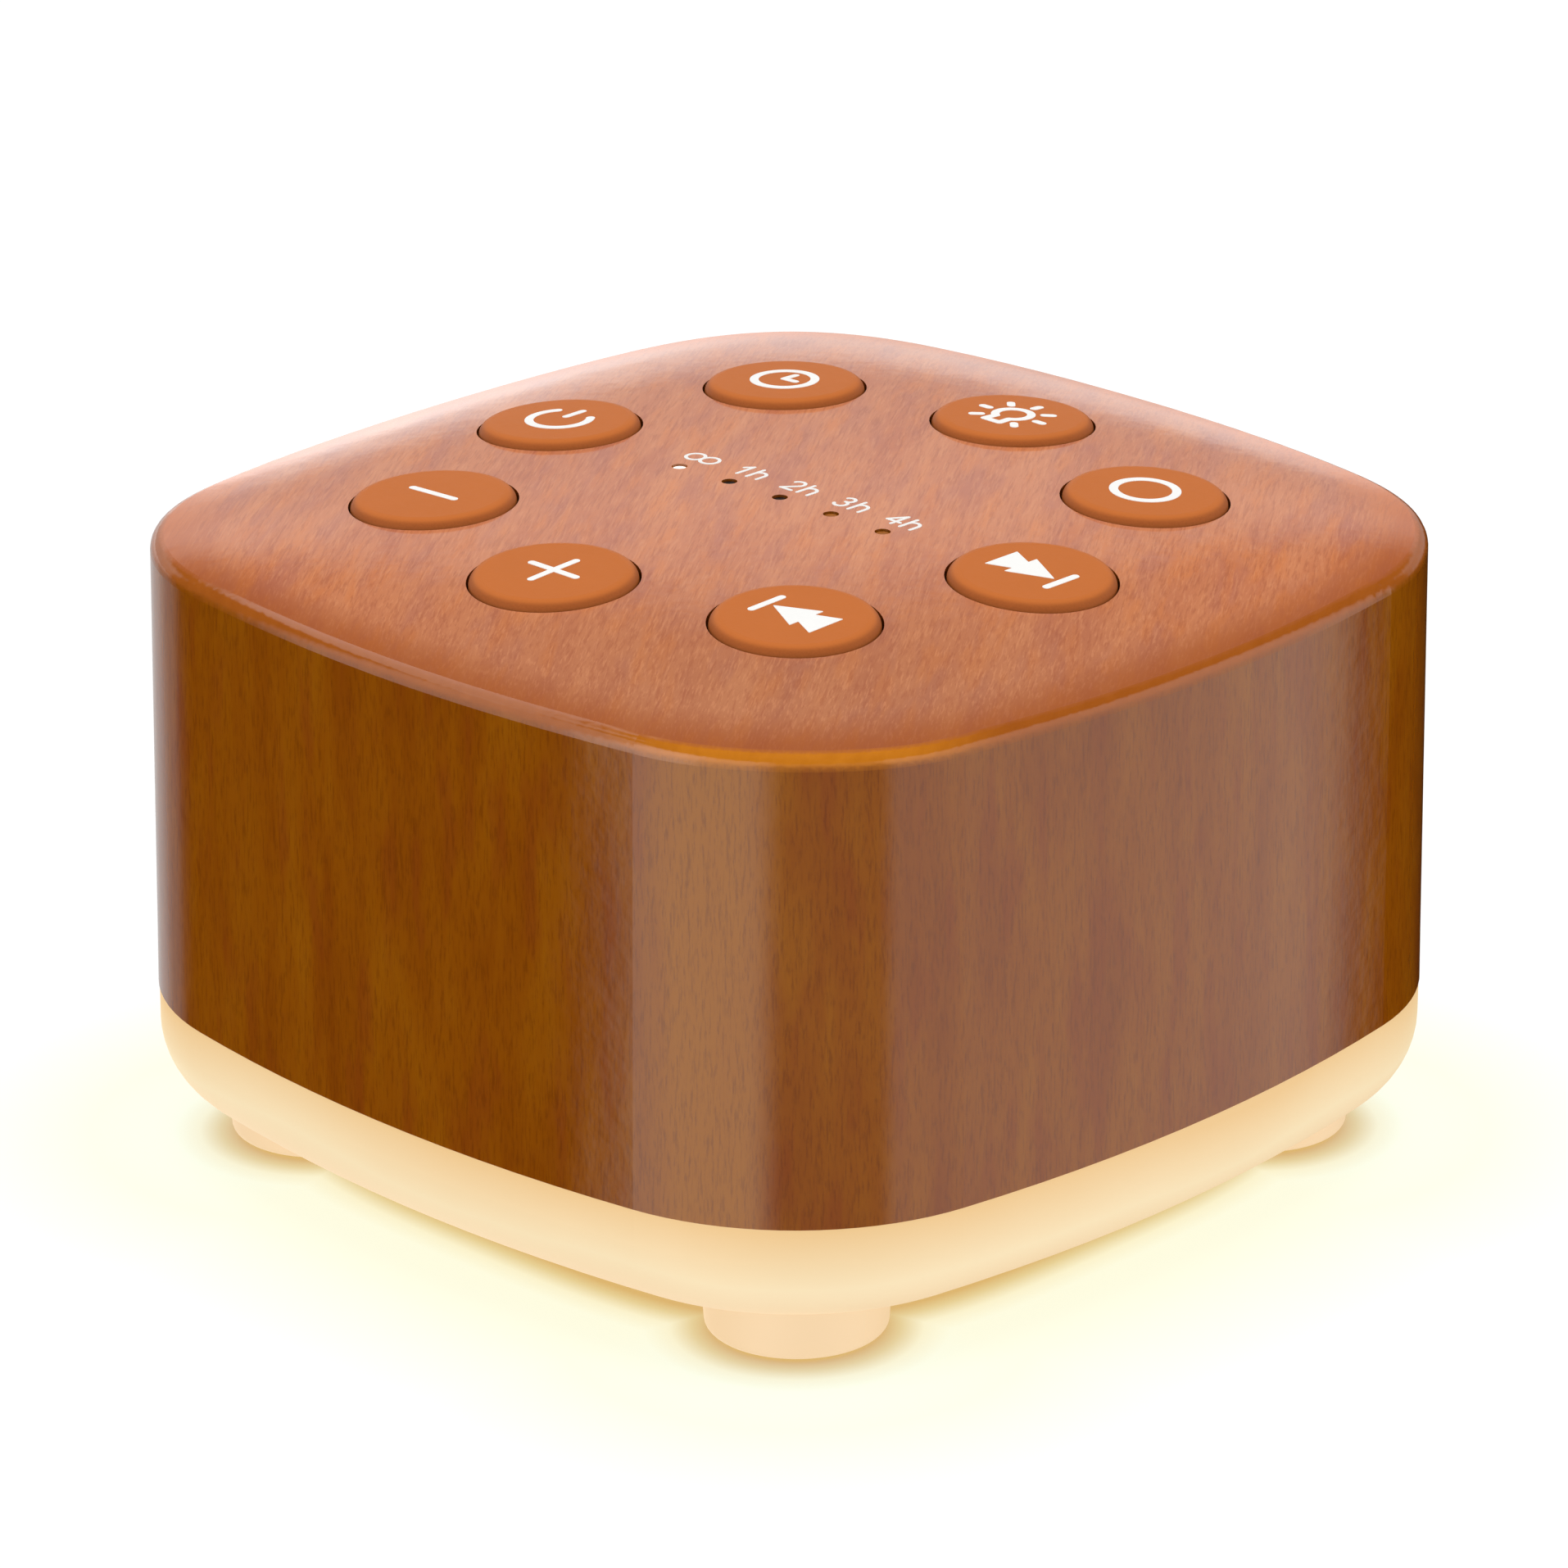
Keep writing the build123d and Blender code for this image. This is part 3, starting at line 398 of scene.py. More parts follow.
@dataclass(frozen=True)
class ButtonSatin(Finish):
    """Orange-brown satin plastic of the caps, with painted shade where they round over to their sides."""

    face: Colour = srgb(206, 114, 50)
    # The side colour is painted shade on the caps' rounded edges.
    side: Colour = srgb(174, 94, 42)

    def paint(self, shader: Shader, place: Input) -> None:
        """Feeds colour by the way the cap faces, with painted shade on the rounded sides, and a fine grain.
        """
        cloud = shader.noise(place, 0.3)
        face = shader.mix(cloud, self.face, toned(self.face, 0.95))
        grain = shader.noise(place, 5.0, 2.0)
        side = shader.mix(grain, toned(self.side, 0.85), toned(self.side, 1.1))
        # Painted shade: where the cap rounds over, it takes the darker side colour.
        shader.set(Base_Color=shader.mix(shader.smooth(shader.upward(), 0.6, 0.96), side, face))
        shader.set(Roughness=0.46 + 0.08 * shader.noise(place, 1.4, 2.0), Specular_IOR_Level=0.12)
        shader.bump(shader.noise(place, 9.0, 1.0), 0.01)


@dataclass(frozen=True)
class FrostedGlow(Finish):
    """Frosted cream plastic, lit evenly from inside and a little deeper in tone towards its top."""

    low: float = 6.0
    high: float = 16.3
    unevenness: float = 4.0
    middle_share: float = 0.45
    foot: Colour = srgb(222, 192, 150)
    middle: Colour = srgb(225, 205, 163)
    top: Colour = srgb(214, 174, 110)
    under: Colour = srgb(230, 194, 112)
    body: Colour = srgb(130, 118, 104)

    def paint(self, shader: Shader, place: Input) -> None:
        """Feeds the glow by height, dim underneath, with soft unevenness from the lights behind it."""
        height = shader.parts(place)[2] + self.unevenness * (shader.noise(place, 0.035, 2.0) - 0.5)
        rise = (height - self.low) / (self.high - self.low)
        shader.set(Base_Color=shader.mix(shader.noise(place, 0.2), self.body, toned(self.body, 0.94)))
        glow = shader.ramp(rise, ((0.0, self.foot), (self.middle_share, self.middle), (1.0, self.top)))
        glow = shader.mix(shader.smooth(shader.upward(), -0.99, -0.93), self.under, glow)
        shader.set(Emission_Color=glow, Emission_Strength=1.0)
        shader.set(Roughness=0.5 + 0.08 * shader.noise(place, 0.8, 2.0))


@dataclass(frozen=True)
class BareMetal(Finish):
    """Plated or machined metal with faint turning marks."""

    colour: Colour
    roughness: float = 0.3

    def paint(self, shader: Shader, place: Input) -> None:
        """Feeds metal with cloudy gloss."""
        shader.set(Base_Color=shader.mix(shader.noise(place, 0.9), self.colour, toned(self.colour, 0.8)))
        shader.set(Metallic=1.0, Roughness=self.roughness + 0.15 * shader.noise(place, 3.0, 2.0))
        shader.bump(shader.noise(place, 12.0, 1.0), 0.006)


@dataclass(frozen=True)
class CircuitBoard(Finish):
    """Green solder mask over copper tracks, with a pale bare edge."""

    mask: Colour = srgb(14, 78, 44)
    track: Colour = srgb(40, 122, 66)
    bare: Colour = srgb(186, 170, 112)

    def paint(self, shader: Shader, place: Input) -> None:
        """Feeds tracks from a cell pattern."""
        cells = shader.node(
            "ShaderNodeTexVoronoi", {"feature": "DISTANCE_TO_EDGE"}, {"Vector": place, "Scale": 0.32}
        )
        tracks = 1 - shader.smooth(Scalar(shader, cells.outputs["Distance"]), 0.03, 0.09)
        mask = shader.mix(0.6 * tracks, self.mask, self.track)
        level = shader.upward()
        flat = shader.smooth(level * level, 0.4, 0.8)
        shader.set(Base_Color=shader.mix(flat, self.bare, mask), Roughness=0.35 + 0.1 * tracks)
        shader.bump(tracks, 0.03)


@dataclass(frozen=True)
class PressedPaper(Finish):
    """Black pressed paper with felted fibres."""

    colour: Colour

    def paint(self, shader: Shader, place: Input) -> None:
        """Feeds fibres and a dull sheen."""
        fibres = shader.noise(place, 2.4, 4.0, 0.7, 1.2)
        shader.set(Base_Color=shader.mix(fibres, self.colour, toned(self.colour, 1.9)))
        shader.set(Roughness=0.75 + 0.1 * fibres)
        shader.bump(fibres, 0.05)


@dataclass(frozen=True)
class Winding(Finish):
    """Enamelled copper wire wound round the upright axis."""

    turns_per_mm: float = 5.0
    groove_shade: Colour = srgb(112, 58, 26)
    crest: Colour = srgb(204, 128, 72)

    def paint(self, shader: Shader, place: Input) -> None:
        """Feeds ridges by height, with painted shade in the grooves between turns."""
        height = shader.parts(place)[2]
        ridge = shader.math("PINGPONG", height * self.turns_per_mm, 0.5) * 2
        # Painted shade: the grooves between turns are darker than the crests.
        shader.set(Base_Color=shader.mix(ridge, self.groove_shade, self.crest), Metallic=0.8)
        shader.set(Roughness=0.3 + 0.1 * ridge)
        shader.bump(ridge, 0.05)


class Axis(Enum):
    """An axis of the machine, by its place in a vector."""

    X = 0
    Y = 1


@dataclass(frozen=True)
class WirePair(Finish):
    """A red and a black insulated wire side by side along an axis."""

    across: Axis = Axis.X
    change: float = 0.05
    black: Colour = srgb(32, 32, 34)
    red: Colour = srgb(176, 30, 26)

    def paint(self, shader: Shader, place: Input) -> None:
        """Feeds red on the positive side and black on the other."""
        side = shader.smooth(shader.parts(place)[self.across.value], -self.change, self.change)
        shader.set(Base_Color=shader.mix(side, self.black, self.red))
        shader.set(Roughness=0.42 + 0.1 * shader.noise(place, 1.5, 2.0))


@dataclass(frozen=True)
class SignalPlastic(Finish):
    """Clear plastic of the timer lights: the first lit, the next two dark and the rest amber."""

    lit_to: float = -9.6
    dark_to: float = 3.6
    change: float = 1.0
    lit: Colour = srgb(240, 238, 230)
    glow: Colour = srgb(255, 250, 236)
    dark: tuple[Colour, Colour] = (srgb(20, 12, 8), srgb(36, 22, 14))
    amber: tuple[Colour, Colour] = (srgb(150, 84, 24), srgb(186, 112, 42))

    def paint(self, shader: Shader, place: Input) -> None:
        """Feeds each light's colour by its place along the row."""
        along = shader.parts(place)[0]
        unlit, last_two = (
            shader.smooth(along, at - self.change, at + self.change) for at in (self.lit_to, self.dark_to)
        )
        cloud = shader.noise(place, 1.6, 2.0)
        colour = shader.mix(last_two, shader.mix(cloud, *self.dark), shader.mix(cloud, *self.amber))
        shader.set(Base_Color=shader.mix(unlit, self.lit, colour))
        shader.set(Emission_Color=shader.mix(unlit, self.glow, grey(0.0)), Emission_Strength=0.9)
        shader.set(Roughness=0.3 + 0.1 * cloud)


# ---------------------------------------------------------------- helpers for pieces
def dress(node: str, material: bpy.types.Material) -> None:
    """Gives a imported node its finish."""
    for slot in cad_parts[node].material_slots:
        slot.material = material
    LOG.info("dressed %s in %s", node, material.name)


def placed(name: str, mesh: bmesh.types.BMesh) -> bpy.types.Object:
    """Puts a drawn mesh into the scene as an object, and frees it."""
    data = bpy.data.meshes.new(name)
    mesh.to_mesh(data)
    mesh.free()
    item = bpy.data.objects.new(name, data)
    bpy.context.scene.collection.objects.link(item)
    return item


def on_circle(middle: Spot, radius: float, angle: float) -> Spot:
    """The point of a circle at an angle in degrees."""
    turn = math.radians(angle)
    return (middle[0] + radius * math.cos(turn), middle[1] + radius * math.sin(turn))


class Surface:
    """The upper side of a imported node, for laying thin marks on it."""

    def __init__(self, node: str) -> None:
        """Takes the node whose top carries the marks."""
        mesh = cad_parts[node].data
        corners = [vertex.co.copy() for vertex in mesh.vertices]
        self.tree = BVHTree.FromPolygons(corners, [tuple(face.vertices) for face in mesh.polygons])

    def height(self, x: float, y: float) -> float:
        """The height of the top over a place, in metres."""
        hit = self.tree.ray_cast(Vector((x, y, 1.0)), Vector((0.0, 0.0, -1.0)))
        return hit[0].z


@dataclass
class PaintedMark:
    """A thin printed mark. Its strokes are drawn flat in millimetres, one high, then draped."""

    name: str
    body: str
    slot: str
    surface: Surface
    centre: Spot
    thickness: float = 0.05
    sunk: float = 0.04
    end_sides: int = 20
    fewest_steps: int = 12
    step_angle: float = 5.0
    strokes: list[bmesh.types.BMesh] = field(default_factory=list)

    def _stroke(self) -> bmesh.types.BMesh:
        """Starts a stroke."""
        self.strokes.append(bmesh.new())
        return self.strokes[-1]

    def bar(self, start: Spot, end: Spot, width: float) -> None:
        """A straight stroke with round ends.

        Args:
            start: Middle of one round end.
            end: Middle of the other.
            width: Stroke width.
        """
        stroke = self._stroke()
        for level in (0.0, 1.0):
            for x, y in (start, end):
                place = Matrix.Translation((x, y, level))
                bmesh.ops.create_circle(stroke, segments=self.end_sides, radius=width / 2, matrix=place)
        hull = bmesh.ops.convex_hull(stroke, input=stroke.verts)
        inside = [item for item in hull["geom_interior"] if isinstance(item, bmesh.types.BMVert)]
        bmesh.ops.delete(stroke, geom=inside, context="VERTS")

    def arc(self, middle: Spot, radius: float, width: float, start: float, sweep: float) -> None:
        """A curved stroke: a ring where the sweep is 360 degrees, or else one with round ends.

        Args:
            middle: Centre of the arc.
            radius: Radius of the stroke's middle line.
            width: Stroke width.
            start: Angle of its beginning, in degrees from +X.
            sweep: Angle it covers, in degrees.
        """
        ring = sweep >= 360
        stroke = self._stroke()
        square = bmesh.ops.create_grid(stroke, x_segments=1, y_segments=1, size=0.5)["verts"]
        upright = Matrix.Rotation(math.radians(90), 4, "X")
        thin = Matrix.Diagonal((width, 1.0, 1.0, 1.0))
        turn = Matrix.Rotation(math.radians(start), 4, "Z")
        place = Matrix.Translation((*middle, 0.0)) @ turn @ Matrix.Translation((radius, 0.0, 0.5))
        bmesh.ops.transform(stroke, matrix=place @ thin @ upright, verts=square)
        if ring:
            bmesh.ops.delete(stroke, geom=list(stroke.faces), context="FACES_ONLY")
        bmesh.ops.spin(
            stroke,
            geom=[*stroke.verts, *stroke.edges, *stroke.faces],
            cent=(*middle, 0.0),
            axis=(0.0, 0.0, 1.0),
            angle=math.radians(sweep),
            steps=max(self.fewest_steps, round(sweep / self.step_angle)),
            use_merge=ring,
        )
        if not ring:
            for angle in (start, start + sweep):
                self.dot(on_circle(middle, radius, angle), width)

    def dot(self, middle: Spot, width: float) -> None:
        """A round spot."""
        place = Matrix.Translation((*middle, 0.5))
        bmesh.ops.create_cone(
            self._stroke(),
            cap_ends=True,
            segments=self.end_sides,
            radius1=width / 2,
            radius2=width / 2,
            depth=1.0,
            matrix=place,
        )

    def plate(self, outline: Sequence[Spot], soft: float) -> None:
        """A filled shape.

        Args:
            outline: Its corners in order.
            soft: Radius that its corners are rounded by.
        """
        stroke = self._stroke()
        face = stroke.faces.new([stroke.verts.new((x, y, 0.0)) for x, y in outline])
        raised = bmesh.ops.extrude_face_region(stroke, geom=[face], use_keep_orig=True)
        lifted = [item for item in raised["geom"] if isinstance(item, bmesh.types.BMVert)]
        bmesh.ops.translate(stroke, verts=lifted, vec=(0.0, 0.0, 1.0))
        upright = [edge for edge in stroke.edges if edge.verts[0].co.z != edge.verts[1].co.z]
        bmesh.ops.bevel(
            stroke, geom=upright, offset=soft, segments=3, profile=0.5, affect="EDGES", material=-1
        )

    def finish(self, material: bpy.types.Material) -> bpy.types.Object:
        """Unites the strokes, drapes them over the surface and makes them ride on their body.

        Args:
            material: The mark's finish.

        Returns:
            The finished piece.
        """
        mesh = bmesh.new()
        mesh.from_mesh(self._united())
        for vertex in mesh.verts:
            x = MM * (self.centre[0] + vertex.co.x)
            y = MM * (self.centre[1] + vertex.co.y)
            lift = MM * (vertex.co.z * (self.thickness + self.sunk) - self.sunk)
            vertex.co = (x, y, self.surface.height(x, y) + lift)
        bmesh.ops.recalc_face_normals(mesh, faces=mesh.faces)
        piece = placed(self.name, mesh)
        piece.data.materials.append(material)
        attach(piece, self.body)
        LOG.info("made %s, %d faces, on %s", self.name, len(piece.data.polygons), self.body)
        return piece

    def _united(self) -> bpy.types.Mesh:
        """All strokes as one closed shell."""
        first, rest = self._shape(self.strokes[:1]), self._shape(self.strokes[1:])
        if self.strokes[1:]:
            union = first.modifiers.new("union", "BOOLEAN")
            union.operation = "UNION"
            union.solver = "EXACT"
            union.use_self = True
            union.object = rest
        bpy.context.view_layer.update()
        whole = bpy.data.meshes.new_from_object(first.evaluated_get(bpy.context.evaluated_depsgraph_get()))
        for shape in (first, rest):
            bpy.data.objects.remove(shape)
        return whole

    def _shape(self, strokes: Sequence[bmesh.types.BMesh]) -> bpy.types.Object:
        """A passing object that holds these strokes."""
        mesh = bmesh.new()
        for stroke in strokes:
            bmesh.ops.recalc_face_normals(stroke, faces=stroke.faces)
            part = bpy.data.meshes.new(self.name)
            stroke.to_mesh(part)
            stroke.free()
            mesh.from_mesh(part)
        return placed(f"{self.name}_shape", mesh)


# ---------------------------------------------------------------- the machine
@dataclass
class Housing:
    """The wood-grain housing."""

    node: str = "housing_shell"
    wood: LacqueredWood = LacqueredWood("lacquered_wood")

    def build(self) -> None:
        """Dresses the housing."""
        dress(self.node, self.wood.material())


@dataclass
class ButtonRing:
    """Eight press buttons with printed symbols."""

    side_reach: float = 30.7
    corner_reach: float = 33.205
    stroke: float = 0.74
    bulb_stroke: float = 0.82
    ring_radius: float = 2.96
    ring_stroke: float = 0.86
    minus_half: float = 2.8
    plus_half: float = 2.85
    arrow_corner: float = 0.12
    cap: ButtonSatin = ButtonSatin("button_satin")
    paint: MouldedPlastic = MouldedPlastic("symbol_white", srgb(254, 253, 250), 0.5, 0.98, 0.01, 0.2)

    def build(self) -> None:
        """Dresses the caps, plungers and switches, and draws each symbol."""
        cap = self.cap.material()
        white = self.paint.material()
        stem = MouldedPlastic("plunger_brown", srgb(92, 54, 34), 0.45).material()
        body = MouldedPlastic("switch_black", srgb(38, 38, 40), 0.5).material()
        for name, (angle, draw) in self._symbols().items():
            dress(f"button_{name}", cap)
            dress(f"plunger_{name}", stem)
            dress(f"switch_{name}", body)
            reach = self.corner_reach if angle % 90 else self.side_reach
            centre = on_circle((0, 0), reach, angle)
            surface = Surface(f"button_{name}")
            mark = PaintedMark(f"symbol_{name}", f"{name}_key", "button_plastic", surface, centre)
            draw(mark)
            mark.finish(white)

    def _symbols(self) -> dict[str, tuple[float, Callable[[PaintedMark], None]]]:
        """Each button's angle round the ring and the method that draws its symbol."""
        return {
            "next": (0, self._next),
            "loop": (45, self._loop),
            "light": (90, self._bulb),
            "timer": (135, self._clock),
            "power": (180, self._power),
            "volume_down": (225, self._minus),
            "volume_up": (270, self._plus),
            "previous": (315, self._previous),
        }

    def _loop(self, mark: PaintedMark) -> None:
        """A plain ring."""
        mark.arc((0, 0), self.ring_radius, self.ring_stroke, 0, 360)

    def _clock(self, mark: PaintedMark) -> None:
        """A ring with two hands at right angles."""
        mark.arc((0, 0), self.ring_radius, self.ring_stroke, 0, 360)
        x, y = hub = (-0.1, 0.05)
        mark.bar(hub, (x, 1.65), self.stroke)
        mark.bar(hub, (1.4, y), self.stroke)

    def _power(self, mark: PaintedMark) -> None:
        """An open ring with an upright bar in its gap."""
        mark.arc((0, 0), self.ring_radius, self.ring_stroke, 139, 262)
        mark.bar((0, 0.85), (0, 3.1), self.stroke)

    def _minus(self, mark: PaintedMark) -> None:
        """One level bar."""
        mark.bar((-self.minus_half, 0), (self.minus_half, 0), self.stroke)

    def _plus(self, mark: PaintedMark) -> None:
        """Two crossed bars."""
        mark.bar((-self.plus_half, 0), (self.plus_half, 0), self.stroke)
        mark.bar((0, -self.plus_half), (0, self.plus_half), self.stroke)

    def _skip(self, mark: PaintedMark, way: int) -> None:
        """Two joined arrowheads against a bar.

        Args:
            mark: The mark to draw on.
            way: 1 to point to +X, -1 to point to -X.
        """
        tip, inner, outer, half, notch = 2.75, -1.45, -3.87, 2.2, 1.08
        bar, bar_half = way * 3.53, 1.95
        upper = [(tip, 0), (inner, half), (inner, notch), (outer, half)]
        lower = [(outer, -half), (inner, -notch), (inner, -half)]
        mark.plate([(way * x, y) for x, y in upper + lower], self.arrow_corner)
        mark.bar((bar, -bar_half), (bar, bar_half), self.stroke)

    def _next(self, mark: PaintedMark) -> None:
        """The skip symbol forwards."""
        self._skip(mark, 1)

    def _previous(self, mark: PaintedMark) -> None:
        """The skip symbol backwards."""
        self._skip(mark, -1)

    def _bulb(self, mark: PaintedMark) -> None:
        """A light bulb, its base towards the user, with seven rays."""
        globe_radius, neck, foot, foot_level = 1.74, 0.87, 0.95, -2.9
        ray_start, ray_end = 3.05, 3.85
        mark.arc((0, 0.1), globe_radius, self.bulb_stroke, -60, 300)
        for side in (-1, 1):
            mark.bar((side * neck, -1.4), (side * foot, -2.8), self.bulb_stroke)
        mark.bar((-foot, foot_level), (foot, foot_level), self.bulb_stroke)
        for angle in (0, 45, 90, 135, 180, 225, 315):
            start, end = (on_circle((0, 0), reach, angle) for reach in (ray_start, ray_end))
            mark.bar(start, end, self.bulb_stroke)


@dataclass
class TimerRow:
    """The row of timer lights with their printed hours."""

    first: float = -12.9
    pitch: float = 6.6
    baseline: float = 0.5
    tall: float = 2.4
    stroke: float = 0.35
    arch: float = 0.65
    white: MouldedPlastic = MouldedPlastic("print_white", srgb(252, 250, 246), 0.5, 0.98)

    def build(self) -> None:
        """Prints the hours and dresses the light guide and its LEDs."""
        white = self.white.material()
        surface = Surface("housing_shell")
        for hours, digit in enumerate((self._no_limit, self._one, self._two, self._three, self._four)):
            centre = (self.first + hours * self.pitch, self.baseline)
            name = f"label_{hours}_hours" if hours else "label_no_limit"
            mark = PaintedMark(name, "machine", "wood_finish", surface, centre)
            digit(mark)
            if hours:
                self._letter(mark)
            mark.finish(white)
        dress("light_guide", SignalPlastic("signal_plastic").material())
        dress("timer_leds", MouldedPlastic("led_yellow", srgb(232, 214, 120), 0.3).material())

    def _no_limit(self, mark: PaintedMark) -> None:
        """Two linked rings."""
        for side in (-1, 1):
            mark.arc((0.06 + side * 0.94, 0.95), 0.93, self.stroke, 0, 360)

    def _letter(self, mark: PaintedMark) -> None:
        """The h that follows each number."""
        stem, waist = 0.17, 1.1
        mark.bar((stem, 0), (stem, self.tall), self.stroke)
        mark.arc((stem + self.arch, waist), self.arch, self.stroke, 0, 180)
        mark.bar((stem + 2 * self.arch, 0), (stem + 2 * self.arch, waist), self.stroke)

    def _one(self, mark: PaintedMark) -> None:
        """A stem with a short flag."""
        mark.bar((-1.1, 0), (-1.1, self.tall), self.stroke)
        mark.bar((-1.1, self.tall), (-1.75, 1.7), self.stroke)

    def _two(self, mark: PaintedMark) -> None:
        """An arch, a slope and a foot."""
        mark.arc((-1.3, 1.75), self.arch, self.stroke, -35, 195)
        mark.bar((-0.77, 1.38), (-1.95, 0), self.stroke)
        mark.bar((-1.95, 0), (-0.6, 0), self.stroke)

    def _three(self, mark: PaintedMark) -> None:
        """Two bowls, the lower one wider."""
        mark.arc((-1.35, 1.83), 0.56, self.stroke, -90, 240)
        mark.arc((-1.35, 0.63), self.arch, self.stroke, -155, 245)

    def _four(self, mark: PaintedMark) -> None:
        """A slope, a crossbar and a stem."""
        mark.bar((-0.95, self.tall), (-2.05, 0.7), self.stroke)
        mark.bar((-2.05, 0.7), (-0.45, 0.7), self.stroke)
        mark.bar((-0.95, 0), (-0.95, self.tall), self.stroke)


@dataclass
class LightBase:
    """The glowing base with its light board, reflector and pads."""

    glow: FrostedGlow = FrostedGlow("frosted_glow")

    def build(self) -> None:
        """Dresses the base and what lights it."""
        dress("light_base", self.glow.material())
        rubber = MouldedPlastic("pad_rubber", srgb(96, 92, 88), 0.8, 0.85, 0.03).material()
        for place in ("front_left", "front_right", "rear_left", "rear_right"):
            dress(f"foot_pad_{place}", rubber)
        dress("light_board", CircuitBoard("light_board_mask").material())
        dress("light_board_leds", MouldedPlastic("led_warm", srgb(244, 218, 150), 0.3).material())
        dress("reflector_plate", MouldedPlastic("reflector_white", srgb(240, 240, 236), 0.4, 0.97).material())


@dataclass
class Loudspeaker:
    """The loudspeaker over the sound slots in the base's floor."""

    def build(self) -> None:
        """Dresses each speaker part."""
        finishes = {
            "speaker_frame": MouldedPlastic("speaker_paint", srgb(36, 36, 38), 0.4, 0.8, 0.02),
            "speaker_magnet": BareMetal("magnet_iron", srgb(120, 120, 124), 0.4),
            "speaker_cone": PressedPaper("cone_paper", srgb(40, 38, 36)),
            "speaker_coil": Winding("coil_winding"),
            "speaker_surround": MouldedPlastic("surround_rubber", srgb(30, 30, 31), 0.6, 0.8, 0.02),
            "speaker_dust_cap": PressedPaper("dust_cap_paper", srgb(52, 50, 48)),
            "speaker_gasket": MouldedPlastic("gasket_foam", srgb(44, 44, 46), 0.9, 0.7, 0.08),
            "speaker_terminal": BareMetal("terminal_brass", srgb(196, 150, 88), 0.3),
        }
        for node, finish in finishes.items():
            dress(node, finish.material())


@dataclass
class Electronics:
    """Boards, chips, sockets, the power inlet and the leads."""

    def build(self) -> None:
        """Dresses the boards and what they carry."""
        groups = {
            CircuitBoard("board_mask"): ("main_board", "power_board"),
            MouldedPlastic("chip_package", srgb(34, 34, 36), 0.55, 0.8, 0.02): (
                "sound_processor",
                "memory_chip",
                "amplifier_chip",
            ),
            MouldedPlastic("socket_white", srgb(236, 234, 226)): (
                "speaker_socket",
                "light_socket",
                "power_socket",
            ),
            BareMetal("capacitor_can", srgb(190, 192, 196), 0.25): ("board_capacitors",),
            BareMetal("inlet_steel", srgb(196, 198, 202), 0.22): ("power_inlet",),
            WirePair("speaker_wires", Axis.Y): ("speaker_lead",),
            WirePair("board_wires", Axis.X): ("light_lead", "power_lead"),
        }
        for finish, nodes in groups.items():
            material = finish.material()
            for node in nodes:
                dress(node, material)


@dataclass
class Fixings:
    """All the screws."""

    zinc: BareMetal = BareMetal("zinc_screws", srgb(186, 188, 190), 0.28)

    def build(self) -> None:
        """Dresses the screws."""
        zinc = self.zinc.material()
        for node in ("case_screws", "board_screws", "speaker_screws", "power_board_screws"):
            dress(node, zinc)


# ---------------------------------------------------------------- studio
@dataclass(frozen=True)
class Softbox:
    """A soft white panel of the studio, as shiny surfaces see it, by angles in degrees.

    The way runs round from +X, and the height is over the horizon. Beyond both, the panel fades out.
    """

    way: tuple[float, float]
    height: tuple[float, float]
    level: float
    fade_way: tuple[float, float]
    fade_height: float = 5

    def light(self, nodes: Nodes, way: Scalar, height: Scalar) -> Scalar:
        """The panel's light along a direction.

        Args:
            nodes: The tree to build in.
            way: The direction's way.
            height: The direction's height.

        Returns:
            Its level there, down to 0 outside the panel.
        """
        (low, high), (first, last) = self.way, self.fade_way
        inside = nodes.smooth(way, low - first, low)
        if high <= 180:
            inside = inside * (1 - nodes.smooth(way, high, high + last))
        else:
            inside = inside + (1 - nodes.smooth(way, high - 360, high - 360 + last))
        tall = nodes.smooth(height, self.height[0] - self.fade_height, self.height[0])
        tall = tall * (1 - nodes.smooth(height, self.height[1], self.height[1] + self.fade_height))
        return inside * tall * self.level


